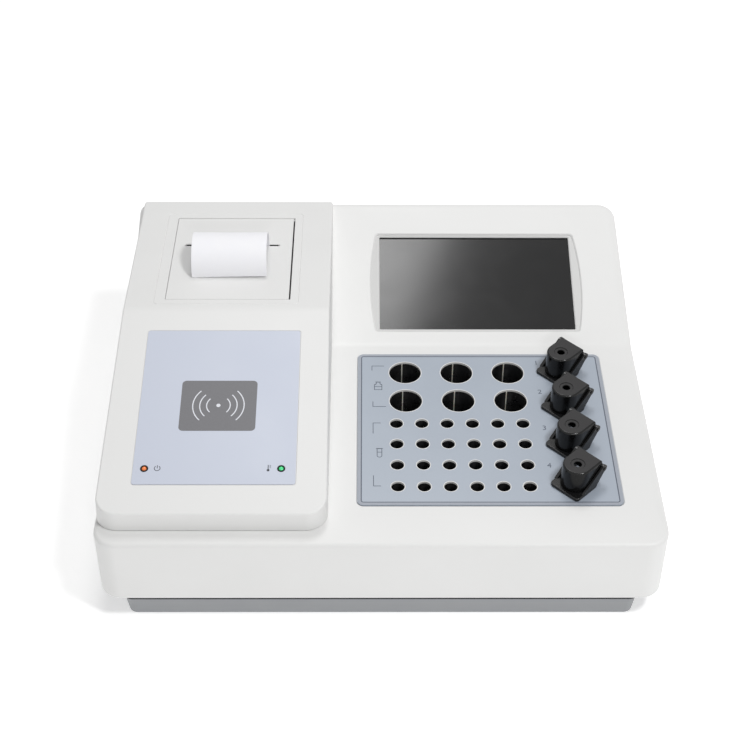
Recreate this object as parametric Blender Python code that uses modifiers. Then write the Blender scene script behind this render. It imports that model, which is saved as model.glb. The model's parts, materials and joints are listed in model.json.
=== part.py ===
"""Semi-automatic coagulation analyzer with four optical channels.

Metres, +Z up, front towards -Y, origin on the table under the middle of the body.
A deck of heated wells lies at the right, a raised cover at the left holds a card
reader and a paper printer, and four black caps close the measuring channels.
"""

import math
from math import cos, pi, radians, sin, tan

import bmesh
import bpy
from mathutils import Matrix, Vector

# Clearances and helpers for cuts
GAP = 0.0003
OVERRUN = 0.0100
OVERLAP = 0.0005
MERGE_DISTANCE = 0.00001

# Facets round large, middle and small cylinders, and along a rounded corner
LARGE_FACETS = 20
FACETS = 14
SMALL_FACETS = 8
SAMPLE_FACETS = 12
CORNER_FACETS = 3
BODY_CORNER_FACETS = 5
COVER_CORNER_FACETS = 4
BOW_FACETS = 4
DOME_FACETS = 3
HALF_ROUND_FACETS = 8
CAP_FACETS = 10
BEND_FACETS = 6
ROUND_SEGMENTS = 2
SHARP_ANGLE = radians(35)
ROUNDED_ANGLE = radians(50)

# Body
BODY_WIDTH = 0.3935
BODY_DEPTH = 0.3440
BODY_WALL = 0.0030
BODY_FRONT_RADIUS = 0.0180
BODY_REAR_RADIUS = 0.0240
BODY_EDGE_ROUND = 0.0025
SKIRT_HEIGHT = 0.0198
FRONT_EDGE_HEIGHT = 0.0737
DECK_LENGTH = 0.2090
DECK_SLOPE = radians(1.92)
SCREEN_SLOPE = radians(19.42)

# Base pan and feet
FOOT_THICKNESS = 0.0017
FOOT_RADIUS = 0.0090
FOOT_INSET = 0.0200
PAN_SHEET = 0.0020
PAN_SIDE_INSET = 0.0167
PAN_FRONT_INSET = 0.0060
PAN_DRAFT = 0.0020
PAN_RADIUS = 0.0120

# Raised left cover
COVER_WIDTH = 0.1592
COVER_SIDE_INSET = 0.0007
COVER_FRONT_INSET = 0.0131
COVER_REAR_INSET = 0.0030
COVER_FRONT_HEIGHT = 0.0893
COVER_TOP_HEIGHT = 0.1289
COVER_SLOPE = radians(12.54)
COVER_WALL = 0.0032
COVER_RADIUS = 0.0150
COVER_EDGE_ROUND = 0.0012
COVER_LEFT_DRAFT = 0.0032
COVER_RIGHT_DRAFT = 0.0010
COVER_FLANGE_SIDE = 0.0130
COVER_FLANGE_FRONT = 0.0139
COVER_FLANGE_REAR = 0.0140
COVER_POST_FRONT = -0.1269
COVER_POST_REAR = 0.0031

# Card label and lamps on the slope of the cover
LABEL_WIDTH = 0.1136
LABEL_LENGTH = 0.1378
LABEL_FROM_EDGE = 0.0243
LABEL_THICKNESS = 0.0004
LABEL_RECESS = 0.0004
LABEL_RADIUS = 0.0030
LAMP_RADIUS = 0.0026
LAMP_FROM_EDGE = 0.0375
LAMP_SPACING = 0.0945
LAMP_RISE = 0.0008
LAMP_FLANGE_RADIUS = 0.0036
LAMP_FLANGE = 0.0010
READER_WIDTH = 0.1120
READER_LENGTH = 0.1280
READER_FROM_EDGE = 0.0860
BOARD_THICKNESS = 0.0016

# Printer lid
LID_WIDTH = 0.0943
LID_LENGTH = 0.1106
LID_FROM_TOP_FOLD = 0.0126
LID_GAP = 0.0006
LID_THICKNESS = COVER_WALL
LID_PIN_RADIUS = 0.0007
LID_PIN_REACH = 0.0025
SLOT_WIDTH = 0.0747
SLOT_OPENING = 0.0020
SLOT_FROM_REAR = 0.0386

# Printer bay
BAY_WALL = 0.0020
BAY_INSET = 0.0025
BAY_POCKET_LENGTH = 0.0440
BAY_POCKET_DEPTH = 0.0529
BAY_REAR_DEPTH = 0.0426
BAY_EAR_LENGTH = 0.0105
BAY_EAR_WIDTH = 0.0110
BAY_EAR_DROP = 0.0108
BAY_EAR_THICKNESS = 0.0025
BAY_EAR_SPACING = 0.0600

# Paper and roll
PAPER_WIDTH = 0.0576
PAPER_THICKNESS = 0.0003
ROLL_RADIUS = 0.0190
ROLL_BORE_GAP = 0.0005
SPINDLE_RADIUS = 0.0055
SPINDLE_RIB = 0.0030
CURL_RADIUS = 0.0222
CURL_FACETS = 20
WEB_BEND_RADIUS = 0.0080

# Printer mechanism
PLATEN_RADIUS = 0.0050
PLATEN_DROP = 0.0159
SHAFT_RADIUS = 0.0020
FRAME_SHEET = 0.0012
FRAME_SIDE_GAP = 0.0032
FRAME_FRONT_REACH = 0.0077
FRAME_REAR_REACH = 0.0343
FRAME_TOP_RISE = 0.0080
HEAD_THICKNESS = 0.0040
HEAD_HEIGHT = 0.0150
HEAD_RISE = 0.0075
GEAR_MODULE = 0.0010
GEAR_WIDTH = 0.0040
GEAR_SIDE_GAP = 0.0010
PLATEN_TEETH = 16
IDLER_TEETH = 14
PINION_TEETH = 10
TOOTH_BACKLASH_SHARE = 0.08
TIP_SHARE = 0.90
ROOT_SHARE = 1.25
PRESSURE_ANGLE = radians(20)
IDLER_DIRECTION = radians(-60)
PINION_DIRECTION = radians(-20)
STUD_RADIUS = 0.0015
MOTOR_RADIUS = 0.0080
MOTOR_LENGTH = 0.0180
MOTOR_SHAFT_RADIUS = 0.0010

# Display
DISPLAY_SHIFT_X = 0.0773
DISPLAY_FROM_FOLD = 0.0597
VIEW_WIDTH = 0.1541
VIEW_LENGTH = 0.0880
RECESS_WIDTH = 0.1595
RECESS_LENGTH = 0.0938
RECESS_BOW = 0.0044
RECESS_RADIUS = 0.0025
RECESS_DEPTH = 0.0014
MODULE_WIDTH = 0.1650
MODULE_LENGTH = 0.1000
GLASS_THICKNESS = 0.0018
MODULE_THICKNESS = 0.0060
BRACKET_SHEET = 0.0012
BRACKET_ROW = 0.0600

# Well panel
PANEL_WIDTH = 0.1856
PANEL_LENGTH = 0.1608
PANEL_SHIFT_X = 0.0761
PANEL_FROM_EDGE = 0.1168
PANEL_RADIUS = 0.0045
PANEL_THICKNESS = 0.0012
PANEL_RECESS = 0.0010
WELLS_SHIFT_X = -0.0178

# Wells and their heated bars
REAGENT_COLUMNS = 3
REAGENT_ROWS = 2
REAGENT_RADIUS = 0.0123
REAGENT_PITCH_X = 0.03915
REAGENT_PITCH_Y = 0.0318
REAGENT_SHIFT_Y = 0.0430
REAGENT_DEPTH = 0.0400
REAGENT_BAR_LENGTH = 0.0288
SAMPLE_COLUMNS = 6
SAMPLE_ROWS = 4
SAMPLE_RADIUS = 0.0050
SAMPLE_PITCH_X = 0.0186
SAMPLE_PITCH_Y = 0.02156
SAMPLE_SHIFT_Y = -0.0301
SAMPLE_DEPTH = 0.0380
SAMPLE_BAR_LENGTH = 0.0200
BAR_WIDTH = 0.1176
BAR_HEIGHT = 0.0450
HEATER_THICKNESS = 0.0008
CARRIER_THICKNESS = 0.0030
CARRIER_MARGIN = 0.0020
CARRIER_EAR = 0.0110

# Measuring channels
CHANNEL_COUNT = 4
CHANNEL_PITCH = 0.0400
CHANNEL_SHIFT_X = 0.0606
CHANNEL_TURN = radians(45)
PLATE_FRONT = 0.0135
PLATE_REAR = 0.0100
PLATE_HALF_WIDTH = 0.0126
PLATE_THICKNESS = 0.0025
PLATE_RADIUS = 0.0030
EAR_THICKNESS = 0.0014
EAR_FRONT = 0.0070
EAR_BOSS_RADIUS = 0.0032
EAR_ARC_START = radians(120)
EAR_ARC_SWEEP = radians(-205)
HINGE_REACH = 0.0148
HINGE_HEIGHT = 0.0134
CAP_PIN_RADIUS = 0.0010
CAP_PIN_REACH = 0.0006
KNUCKLE_RADIUS = 0.0026
CAP_RADIUS = 0.0105
CAP_END = 0.0145
CAP_TOP_HEIGHT = 0.0202
CAP_WALL = 0.0014
CAP_TOP_THICKNESS = 0.0018
CAP_DRAFT = 0.0004
CAP_EDGE_ROUND = 0.0011
CAP_HOLE_RADIUS = 0.0027
SOCKET_RADIUS = 0.0085
SOCKET_DEPTH = 0.0320
CUVETTE_RADIUS = 0.0046
CUVETTE_DEPTH = 0.0270
LIGHT_DEPTH = 0.0180
LIGHT_RADIUS = 0.0025

OPTICS_BOARD_WIDTH = 0.0300
OPTICS_BOARD_OVERHANG = 0.0180
OPTICS_PRONG = 0.0040
OPTICS_PRONG_WIDTH = 0.0070
OPTICS_PRONG_RISE = 0.0040
OPTICS_POST_Y = 0.0730

# Screws, posts and electronics
SCREW_RADIUS = 0.0015
SCREW_LENGTH = 0.0090
SCREW_HEAD_RADIUS = 0.0028
SCREW_HEAD = 0.0020
SCREW_DRIVE_RADIUS = 0.0010
SCREW_DRIVE_DEPTH = 0.0012
BOSS_RADIUS = 0.0040
BODY_BOSS_INSET_X = 0.0105
BODY_BOSS_INSET_Y = 0.0130
POST_RADIUS = 0.0035
PEG_RADIUS = 0.0014
PEG_REACH = 0.0010
FLOOR_POST_HEIGHT = 0.0060
MAIN_BOARD_WIDTH = 0.1400
MAIN_BOARD_LENGTH = 0.1050
MAIN_BOARD_X = -0.0900
MAIN_BOARD_Y = -0.0900
BOARD_HOLE_INSET = 0.0050
SUPPLY_WIDTH = 0.1000
SUPPLY_LENGTH = 0.0700
SUPPLY_HEIGHT = 0.0320
SUPPLY_X = 0.0050
SUPPLY_Y = 0.1000

# Rear connectors
REAR_PLATE_WIDTH = 0.1200
REAR_PLATE_HEIGHT = 0.0480
REAR_PLATE_SHEET = 0.0015
REAR_PLATE_FOOT = 0.0130
REAR_PLATE_X = 0.1050
REAR_OPENING_MARGIN = 0.0060
CONNECTOR_RISE = 0.0270
FLANGE_THICKNESS = 0.0018
INLET_SHIFT = 0.0330
INLET_WIDTH = 0.0270
INLET_HEIGHT = 0.0195
INLET_LENGTH = 0.0220
INLET_WALL = 0.0015
INLET_BLADE_WIDTH = 0.0040
INLET_BLADE_THICKNESS = 0.0020
INLET_BLADE_PITCH = 0.0070
FLANGE_MARGIN = 0.0020
SWITCH_SHIFT = -0.0020
SWITCH_WIDTH = 0.0130
SWITCH_HEIGHT = 0.0190
SWITCH_LENGTH = 0.0140
SWITCH_WALL = 0.0012
ROCKER_TILT = radians(8)
ROCKER_HEIGHT = 0.0142
ROCKER_DEPTH = 0.0060
ROCKER_PIVOT_RADIUS = 0.0010

# Values that follow from the ones above
BODY_FRONT = -BODY_DEPTH / 2
BODY_REAR = BODY_DEPTH / 2
BODY_SIDE = BODY_WIDTH / 2
FOLD_Y = BODY_FRONT + DECK_LENGTH
FOLD_HEIGHT = FRONT_EDGE_HEIGHT + DECK_LENGTH * tan(DECK_SLOPE)
PAN_BOTTOM = FOOT_THICKNESS + GAP
PAN_FLANGE_LOW = SKIRT_HEIGHT + GAP
PAN_FLANGE_HIGH = PAN_FLANGE_LOW + PAN_SHEET
COVER_LEFT = -BODY_SIDE + COVER_SIDE_INSET
COVER_RIGHT = COVER_LEFT + COVER_WIDTH
COVER_FRONT = BODY_FRONT + COVER_FRONT_INSET
COVER_REAR = BODY_REAR - COVER_REAR_INSET
COVER_MIDDLE = (COVER_LEFT + COVER_RIGHT) / 2
COVER_FOLD_Y = COVER_FRONT + (COVER_TOP_HEIGHT - COVER_FRONT_HEIGHT) / tan(COVER_SLOPE)
LID_FRONT = COVER_FOLD_Y + LID_FROM_TOP_FOLD
LID_REAR = LID_FRONT + LID_LENGTH
LID_BOTTOM = COVER_TOP_HEIGHT - LID_THICKNESS
LID_PIN_Y = LID_REAR - LID_THICKNESS / 2
LID_PIN_Z = COVER_TOP_HEIGHT - LID_THICKNESS / 2
SLOT_Y = LID_REAR - SLOT_FROM_REAR
BAY_TOP = LID_BOTTOM - GAP
BAY_FRONT = LID_FRONT + BAY_INSET
BAY_REAR = LID_REAR - BAY_INSET
BAY_HALF_WIDTH = LID_WIDTH / 2 - BAY_INSET
BAY_POCKET_FLOOR = BAY_TOP - BAY_POCKET_DEPTH + BAY_WALL
BAY_REAR_FLOOR = BAY_TOP - BAY_REAR_DEPTH + BAY_WALL
ROLL_Y = BAY_FRONT + ROLL_RADIUS + BAY_WALL
ROLL_Z = BAY_POCKET_FLOOR + ROLL_RADIUS + BAY_WALL
PLATEN_Y = SLOT_Y + PAPER_THICKNESS / 2 + GAP + PLATEN_RADIUS
PLATEN_Z = COVER_TOP_HEIGHT - PLATEN_DROP
FRAME_HALF_WIDTH = PAPER_WIDTH / 2 + FRAME_SIDE_GAP
FRAME_BASE = BAY_REAR_FLOOR + GAP
GEAR_X = FRAME_HALF_WIDTH + FRAME_SHEET + GEAR_SIDE_GAP
READER_TOP = -COVER_WALL - GAP - LAMP_FLANGE - GAP
PANEL_BOTTOM = GAP - PANEL_RECESS
PANEL_TOP = PANEL_BOTTOM + PANEL_THICKNESS
BAR_TOP = -PANEL_RECESS
BAR_BOTTOM = BAR_TOP - BAR_HEIGHT
HEATER_TOP = BAR_BOTTOM - GAP
CARRIER_TOP = HEATER_TOP - HEATER_THICKNESS - GAP
CARRIER_BOTTOM = CARRIER_TOP - CARRIER_THICKNESS
GLASS_TOP = -BODY_WALL - GAP
MODULE_TOP = GLASS_TOP - GLASS_THICKNESS - GAP
BRACKET_TOP = MODULE_TOP - MODULE_THICKNESS - GAP
BRACKET_BOTTOM = BRACKET_TOP - BRACKET_SHEET
SCREW_HOLE_RADIUS = SCREW_RADIUS + GAP
PEG_HOLE_RADIUS = PEG_RADIUS + GAP
PIN_BORE_RADIUS = CAP_PIN_RADIUS + GAP
CAP_BOTTOM = PLATE_THICKNESS + GAP
PAN_FLOOR = PAN_BOTTOM + PAN_SHEET
BOARD_BOTTOM = PAN_FLOOR + FLOOR_POST_HEIGHT + GAP
OPTICS_TOP = -SOCKET_DEPTH - GAP
REAR_PLATE_OUTER = BODY_REAR - BODY_WALL - GAP
REAR_PLATE_BOTTOM = PAN_FLANGE_HIGH + GAP
CONNECTOR_Z = REAR_PLATE_BOTTOM + CONNECTOR_RISE

# Turns a side view drawn in (y, z) into a solid that runs along X
SIDEWAYS = Matrix(((0, 0, 1, 0), (1, 0, 0, 0), (0, 1, 0, 0), (0, 0, 0, 1)))
ALONG_X = Matrix.Rotation(pi / 2, 4, "Y")
ALONG_Y = Matrix.Rotation(-pi / 2, 4, "X")
UPRIGHT = Matrix.Identity(4)

# Colour, roughness and metallic value of each finish
FINISHES = {
    "white_abs": ((0.80, 0.80, 0.79), 0.45, 0.0),
    "grey_paint": ((0.30, 0.31, 0.32), 0.50, 0.0),
    "rubber": ((0.03, 0.03, 0.03), 0.85, 0.0),
    "label_film": ((0.62, 0.66, 0.73), 0.40, 0.0),
    "panel_film": ((0.44, 0.50, 0.58), 0.40, 0.0),
    "black_plastic": ((0.02, 0.02, 0.02), 0.35, 0.0),
    "black_anodised": ((0.02, 0.02, 0.022), 0.35, 0.9),
    "aluminium": ((0.75, 0.76, 0.77), 0.35, 1.0),
    "steel": ((0.60, 0.60, 0.62), 0.35, 1.0),
    "board": ((0.02, 0.18, 0.08), 0.50, 0.0),
    "silicone": ((0.65, 0.20, 0.08), 0.60, 0.0),
    "glass": ((0.02, 0.02, 0.025), 0.05, 0.0),
    "amber": ((0.85, 0.22, 0.06), 0.25, 0.0),
    "green": ((0.05, 0.55, 0.18), 0.25, 0.0),
    "paper": ((0.86, 0.86, 0.90), 0.80, 0.0),
    "nylon": ((0.72, 0.71, 0.66), 0.50, 0.0),
    "grey_plastic": ((0.35, 0.36, 0.37), 0.50, 0.0),
}

for old in list(bpy.data.objects):
    bpy.data.objects.remove(old)

PARTS = bpy.data.collections.new("coagulation_analyzer")
CUTTERS = bpy.data.collections.new("cutters")
bpy.context.scene.collection.children.link(PARTS)
bpy.context.scene.collection.children.link(CUTTERS)


# Outlines
def rectangle(low_x, low_y, high_x, high_y):
    """Corners of a rectangle, counterclockwise from the low corner."""
    return [(low_x, low_y), (high_x, low_y), (high_x, high_y), (low_x, high_y)]


def rounded(corners, radii, steps=CORNER_FACETS):
    """The outline with each corner replaced by an arc of its radius."""
    if not isinstance(radii, (list, tuple)):
        radii = [radii] * len(corners)
    outline = []
    for index, radius in enumerate(radii):
        corner = Vector(corners[index])
        before = (Vector(corners[index - 1]) - corner).normalized()
        after = (Vector(corners[(index + 1) % len(corners)]) - corner).normalized()
        if radius == 0:
            outline.append(tuple(corner))
            continue
        half = before.angle(after) / 2
        centre = corner + (before + after).normalized() * (radius / sin(half))
        start = corner + before * (radius / tan(half)) - centre
        finish = corner + after * (radius / tan(half)) - centre
        sweep = start.angle_signed(finish)
        for step in range(steps + 1):
            turn = Matrix.Rotation(-sweep * step / steps, 2)
            outline.append(tuple(centre + turn @ start))
    return outline


def circle(x, y, radius, sides):
    """Points of a circle, counterclockwise."""
    turns = [2 * pi * step / sides for step in range(sides)]
    return [(x + radius * cos(turn), y + radius * sin(turn)) for turn in turns]


def ribbon(line, thickness):
    """Outline of a thin strip that follows a line of points."""
    left = []
    right = []
    for index, point in enumerate(line):
        before = Vector(line[max(index - 1, 0)])
        after = Vector(line[min(index + 1, len(line) - 1)])
        along = (after - before).normalized()
        side = Vector((-along.y, along.x)) * (thickness / 2)
        left.append(tuple(Vector(point) + side))
        right.append(tuple(Vector(point) - side))
    return right + left[::-1]


def gear_outline(teeth, module, phase):
    """Outline of a spur gear with involute flanks, one tooth centred on the angle phase."""
    pitch_radius = module * teeth / 2
    base_radius = pitch_radius * cos(PRESSURE_ANGLE)
    tip_radius = pitch_radius + module * TIP_SHARE
    root_radius = pitch_radius - module * ROOT_SHARE
    half_tooth = pi / (2 * teeth) * (1 - TOOTH_BACKLASH_SHARE)
    involute_at_pitch = tan(PRESSURE_ANGLE) - PRESSURE_ANGLE

    def half_angle(radius):
        if radius <= base_radius:
            return half_tooth + involute_at_pitch
        pressure = math.acos(base_radius / radius)
        return half_tooth + involute_at_pitch - (tan(pressure) - pressure)

    radii = [root_radius, pitch_radius, tip_radius]
    outline = []
    for tooth in range(teeth):
        middle = phase + 2 * pi * tooth / teeth
        flank = [(radius, half_angle(radius)) for radius in radii]
        for radius, half in flank:
            outline.append((radius * cos(middle - half), radius * sin(middle - half)))
        for radius, half in flank[::-1]:
            outline.append((radius * cos(middle + half), radius * sin(middle + half)))
    return outline


def roof_line(inset):
    """Side view of the housing's roof moved inwards by inset: front, fold and rear points."""
    deck_drop = inset / cos(DECK_SLOPE)
    screen_drop = inset / cos(SCREEN_SLOPE)
    fold = FOLD_Y + (screen_drop - deck_drop) / (tan(SCREEN_SLOPE) - tan(DECK_SLOPE))
    front = BODY_FRONT + inset
    rear = BODY_REAR - inset
    front_height = FRONT_EDGE_HEIGHT + inset * tan(DECK_SLOPE) - deck_drop
    fold_height = FOLD_HEIGHT + (fold - FOLD_Y) * tan(DECK_SLOPE) - deck_drop
    rear_height = fold_height + (rear - fold) * tan(SCREEN_SLOPE)
    return [(front, front_height), (fold, fold_height), (rear, rear_height)]


def cover_line(inset):
    """Side view of the left cover's roof moved inwards by inset: front, fold and rear points."""
    slope_drop = inset / cos(COVER_SLOPE)
    front = COVER_FRONT + inset
    front_height = COVER_FRONT_HEIGHT + inset * tan(COVER_SLOPE) - slope_drop
    top = COVER_TOP_HEIGHT - inset
    fold = front + (top - front_height) / tan(COVER_SLOPE)
    return [(front, front_height), (fold, top), (COVER_REAR - inset, top)]


# Objects
def finish(thing, name):
    """Give an object its own material and smooth shading with sharp edges kept."""
    colour, roughness, metallic = FINISHES[name]
    material = bpy.data.materials.new(thing.name + "_" + name)
    material.use_nodes = True
    shader = material.node_tree.nodes["Principled BSDF"]
    shader.inputs["Base Color"].default_value = (*colour, 1)
    shader.inputs["Roughness"].default_value = roughness
    shader.inputs["Metallic"].default_value = metallic
    thing.data.materials.append(material)
    thing.data.shade_smooth()
    thing.data.set_sharp_from_angle(angle=SHARP_ANGLE)
    return thing


def place(name, mesh, parent=None, location=(0, 0, 0), cutter=False):
    """Object for a mesh, in the parts or as a cutter that is never drawn."""
    thing = bpy.data.objects.new(name, mesh)
    thing.parent = parent
    thing.location = location
    if cutter:
        thing.hide_render = True
        thing.display_type = "WIRE"
        CUTTERS.objects.link(thing)
    else:
        PARTS.objects.link(thing)
    return thing


def frame_at(name, location, tilt=0.0, turn=0.0, parent=None):
    """Empty that carries the pieces of one sloping face or one joint."""
    empty = bpy.data.objects.new(name, None)
    empty.parent = parent
    empty.location = location
    empty.rotation_euler = (tilt, 0, turn)
    PARTS.objects.link(empty)
    return empty


def mesh_from(work, name):
    """Mesh data from a finished bmesh, with its faces pointing out."""
    bmesh.ops.recalc_face_normals(work, faces=work.faces)
    mesh = bpy.data.meshes.new(name)
    work.to_mesh(mesh)
    work.free()
    return mesh


def plate_mesh(name, loops, low, high, turn=UPRIGHT):
    """Flat outline, with any holes, thick from low to high along its normal."""
    curve = bpy.data.curves.new(name, "CURVE")
    curve.dimensions = "2D"
    curve.fill_mode = "BOTH"
    curve.extrude = (high - low) / 2
    for loop in loops:
        spline = curve.splines.new("POLY")
        spline.points.add(len(loop) - 1)
        for point, (x, y) in zip(spline.points, loop):
            point.co = (x, y, 0, 1)
        spline.use_cyclic_u = True
    holder = bpy.data.objects.new(name, curve)
    flat = bpy.data.meshes.new_from_object(holder)
    bpy.data.objects.remove(holder)
    bpy.data.curves.remove(curve)
    work = bmesh.new()
    work.from_mesh(flat)
    bpy.data.meshes.remove(flat)
    bmesh.ops.remove_doubles(work, verts=work.verts, dist=MERGE_DISTANCE)
    bmesh.ops.translate(work, verts=work.verts, vec=(0, 0, (low + high) / 2))
    bmesh.ops.transform(work, verts=work.verts, matrix=turn)
    return mesh_from(work, name)


def tapered_mesh(name, low_loop, high_loop, low, high):
    """Solid between two outlines of as many points, at the heights low and high."""
    work = bmesh.new()
    floor = work.faces.new([work.verts.new((x, y, low)) for x, y in low_loop])
    raised = bmesh.ops.extrude_face_region(work, geom=[floor])["geom"]
    top = [item for item in raised if isinstance(item, bmesh.types.BMVert)]
    for vert in top:
        distances = [(Vector(point) - vert.co.xy).length for point in low_loop]
        vert.co = (*high_loop[distances.index(min(distances))], high)
    return mesh_from(work, name)


def add_box(work, low, high):
    """Add a box between two corners to a bmesh."""
    middle = (Vector(low) + Vector(high)) / 2
    size = Vector(high) - Vector(low)
    matrix = Matrix.Translation(middle) @ Matrix.Diagonal((*size, 1))
    bmesh.ops.create_cube(work, size=1, matrix=matrix)


def add_rod(work, place_at, radius, low, high, sides=FACETS, turn=UPRIGHT):
    """Add a rod to a bmesh, from low to high along its turned axis through a point."""
    shift = Matrix.Translation((0, 0, (low + high) / 2))
    matrix = Matrix.Translation(place_at) @ turn @ shift
    bmesh.ops.create_cone(work, cap_ends=True, segments=sides, radius1=radius, radius2=radius,
                          depth=high - low, matrix=matrix)


def box_mesh(name, *corner_pairs):
    """Mesh of one or more boxes, each a pair of corners."""
    work = bmesh.new()
    for low, high in corner_pairs:
        add_box(work, low, high)
    return mesh_from(work, name)


def rod_mesh(name, places, radius, low, high, sides=FACETS, turn=UPRIGHT):
    """Mesh of one rod at each place."""
    work = bmesh.new()
    for place_at in places:
        add_rod(work, place_at, radius, low, high, sides, turn)
    return mesh_from(work, name)


def turned(name, profile, sides, parent=None, location=(0, 0, 0)):
    """Solid turned about Z from a half profile that runs from top to bottom."""
    work = bmesh.new()
    line = [work.verts.new((radius, 0, height)) for radius, height in profile]
    for first, second in zip(line, line[1:]):
        work.edges.new((first, second))
    mesh = bpy.data.meshes.new(name)
    work.to_mesh(mesh)
    work.free()
    thing = place(name, mesh, parent, location)
    screw = thing.modifiers.new("turn", "SCREW")
    screw.steps = sides
    screw.render_steps = sides
    screw.use_merge_vertices = True
    screw.merge_threshold = MERGE_DISTANCE
    return thing


def combine(thing, operation, mesh, parent=None, location=(0, 0, 0)):
    """Cut a shape away from an object, join it on, or keep what both share."""
    tool = place(thing.name + "_" + mesh.name, mesh, parent, location, cutter=True)
    modifier = thing.modifiers.new(operation.lower(), "BOOLEAN")
    modifier.operation = operation
    modifier.solver = "EXACT"
    modifier.object = tool
    return tool


def cut(thing, mesh, parent=None, location=(0, 0, 0)):
    return combine(thing, "DIFFERENCE", mesh, parent, location)


def join(thing, mesh, parent=None, location=(0, 0, 0)):
    return combine(thing, "UNION", mesh, parent, location)


def keep(thing, mesh, parent=None, location=(0, 0, 0)):
    return combine(thing, "INTERSECT", mesh, parent, location)


def add_posts(thing, name, places, root, seat, end, parent=None, turn=UPRIGHT):
    """Join posts on an object, from their root to a seat, each with a thinner peg that ends beyond."""
    low, high = sorted((root, seat))
    join(thing, rod_mesh(name + "_posts", places, POST_RADIUS, low, high, SMALL_FACETS, turn), parent)
    low, high = sorted(((root + seat) / 2, end))
    join(thing, rod_mesh(name + "_pegs", places, PEG_RADIUS, low, high, SMALL_FACETS, turn), parent)


def round_edges(thing, width):
    """Round the edges that are about square."""
    bevel = thing.modifiers.new("edge_round", "BEVEL")
    bevel.width = width
    bevel.segments = ROUND_SEGMENTS
    bevel.limit_method = "ANGLE"
    bevel.angle_limit = ROUNDED_ANGLE


# Frames of the sloping faces
DECK = frame_at("deck_frame", (0, BODY_FRONT, FRONT_EDGE_HEIGHT), tilt=DECK_SLOPE)
PANEL = frame_at("panel_frame", (PANEL_SHIFT_X, PANEL_FROM_EDGE, 0), parent=DECK)
SCREEN = frame_at("screen_frame", (DISPLAY_SHIFT_X, FOLD_Y, FOLD_HEIGHT), tilt=SCREEN_SLOPE)
DISPLAY = frame_at("display_frame", (0, DISPLAY_FROM_FOLD, 0), parent=SCREEN)
CARD = frame_at("card_frame", (COVER_MIDDLE, COVER_FRONT, COVER_FRONT_HEIGHT), tilt=COVER_SLOPE)
LID = frame_at("lid_hinge", (COVER_MIDDLE, LID_PIN_Y, LID_PIN_Z))
PLATEN = frame_at("platen_axis", (COVER_MIDDLE, PLATEN_Y, PLATEN_Z))
ROLL = frame_at("roll_axis", (COVER_MIDDLE, ROLL_Y, ROLL_Z))


# Positions that several pieces share
def corners(half_x, half_y):
    """Four places round a middle."""
    return [(x, y, 0) for x in (-half_x, half_x) for y in (-half_y, half_y)]


def grid(columns, rows, pitch_x, pitch_y, shift_x, shift_y):
    """Rows of places, each row from left to right."""
    xs = [shift_x + (column - (columns - 1) / 2) * pitch_x for column in range(columns)]
    ys = [shift_y + (row - (rows - 1) / 2) * pitch_y for row in range(rows)]
    return [[(x, y) for x in xs] for y in ys]


REAGENT_WELLS = grid(REAGENT_COLUMNS, REAGENT_ROWS, REAGENT_PITCH_X, REAGENT_PITCH_Y,
                     WELLS_SHIFT_X, REAGENT_SHIFT_Y)
SAMPLE_WELLS = grid(SAMPLE_COLUMNS, SAMPLE_ROWS, SAMPLE_PITCH_X, SAMPLE_PITCH_Y,
                    WELLS_SHIFT_X, SAMPLE_SHIFT_Y)
CHANNELS = [(CHANNEL_SHIFT_X, (row - (CHANNEL_COUNT - 1) / 2) * CHANNEL_PITCH)
            for row in range(CHANNEL_COUNT)]
BARS_FRONT = SAMPLE_WELLS[0][0][1] - SAMPLE_BAR_LENGTH / 2
BARS_REAR = REAGENT_WELLS[-1][0][1] + REAGENT_BAR_LENGTH / 2
BARS_MIDDLE = (BARS_FRONT + BARS_REAR) / 2
CARRIER_HALF_WIDTH = BAR_WIDTH / 2 + CARRIER_MARGIN
CARRIER_HALF_LENGTH = (BARS_REAR - BARS_FRONT) / 2 + CARRIER_MARGIN
CARRIER_POST_X = CARRIER_HALF_WIDTH - CARRIER_EAR
CARRIER_POST_Y = CARRIER_HALF_LENGTH + POST_RADIUS + CARRIER_MARGIN
CARRIER_POSTS = [(WELLS_SHIFT_X + x, BARS_MIDDLE + y, 0)
                 for x, y, _ in corners(CARRIER_POST_X, CARRIER_POST_Y)]
BODY_BOSSES = corners(BODY_SIDE - BODY_BOSS_INSET_X, BODY_REAR - BODY_BOSS_INSET_Y)
COVER_OPENING_LEFT = COVER_LEFT + COVER_FLANGE_SIDE
COVER_OPENING_RIGHT = COVER_RIGHT - COVER_FLANGE_SIDE
COVER_OPENING_FRONT = COVER_FRONT + COVER_FLANGE_FRONT
COVER_OPENING_REAR = BODY_REAR - COVER_FLANGE_REAR
COVER_POST_INSET = (COVER_FLANGE_SIDE + COVER_WALL) / 2
COVER_POSTS = [(x, y) for x in (COVER_LEFT + COVER_POST_INSET, COVER_RIGHT - COVER_POST_INSET)
               for y in (COVER_POST_FRONT, COVER_POST_REAR)]
DISPLAY_POST_X = MODULE_WIDTH / 2 + POST_RADIUS + GAP
DISPLAY_POSTS = corners(DISPLAY_POST_X, BRACKET_ROW / 2)
BAY_EAR_FRONT_Y = BAY_FRONT - BAY_WALL - BAY_EAR_LENGTH / 2
BAY_EAR_REAR_Y = BAY_REAR + BAY_WALL + BAY_EAR_LENGTH / 2
BAY_EAR_TOP = BAY_TOP - BAY_EAR_DROP
BAY_EAR_BOTTOM = BAY_EAR_TOP - BAY_EAR_THICKNESS
BAY_POSTS = [(COVER_MIDDLE + x, y, 0) for x in (-BAY_EAR_SPACING / 2, BAY_EAR_SPACING / 2)
             for y in (BAY_EAR_FRONT_Y, BAY_EAR_REAR_Y)]
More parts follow.
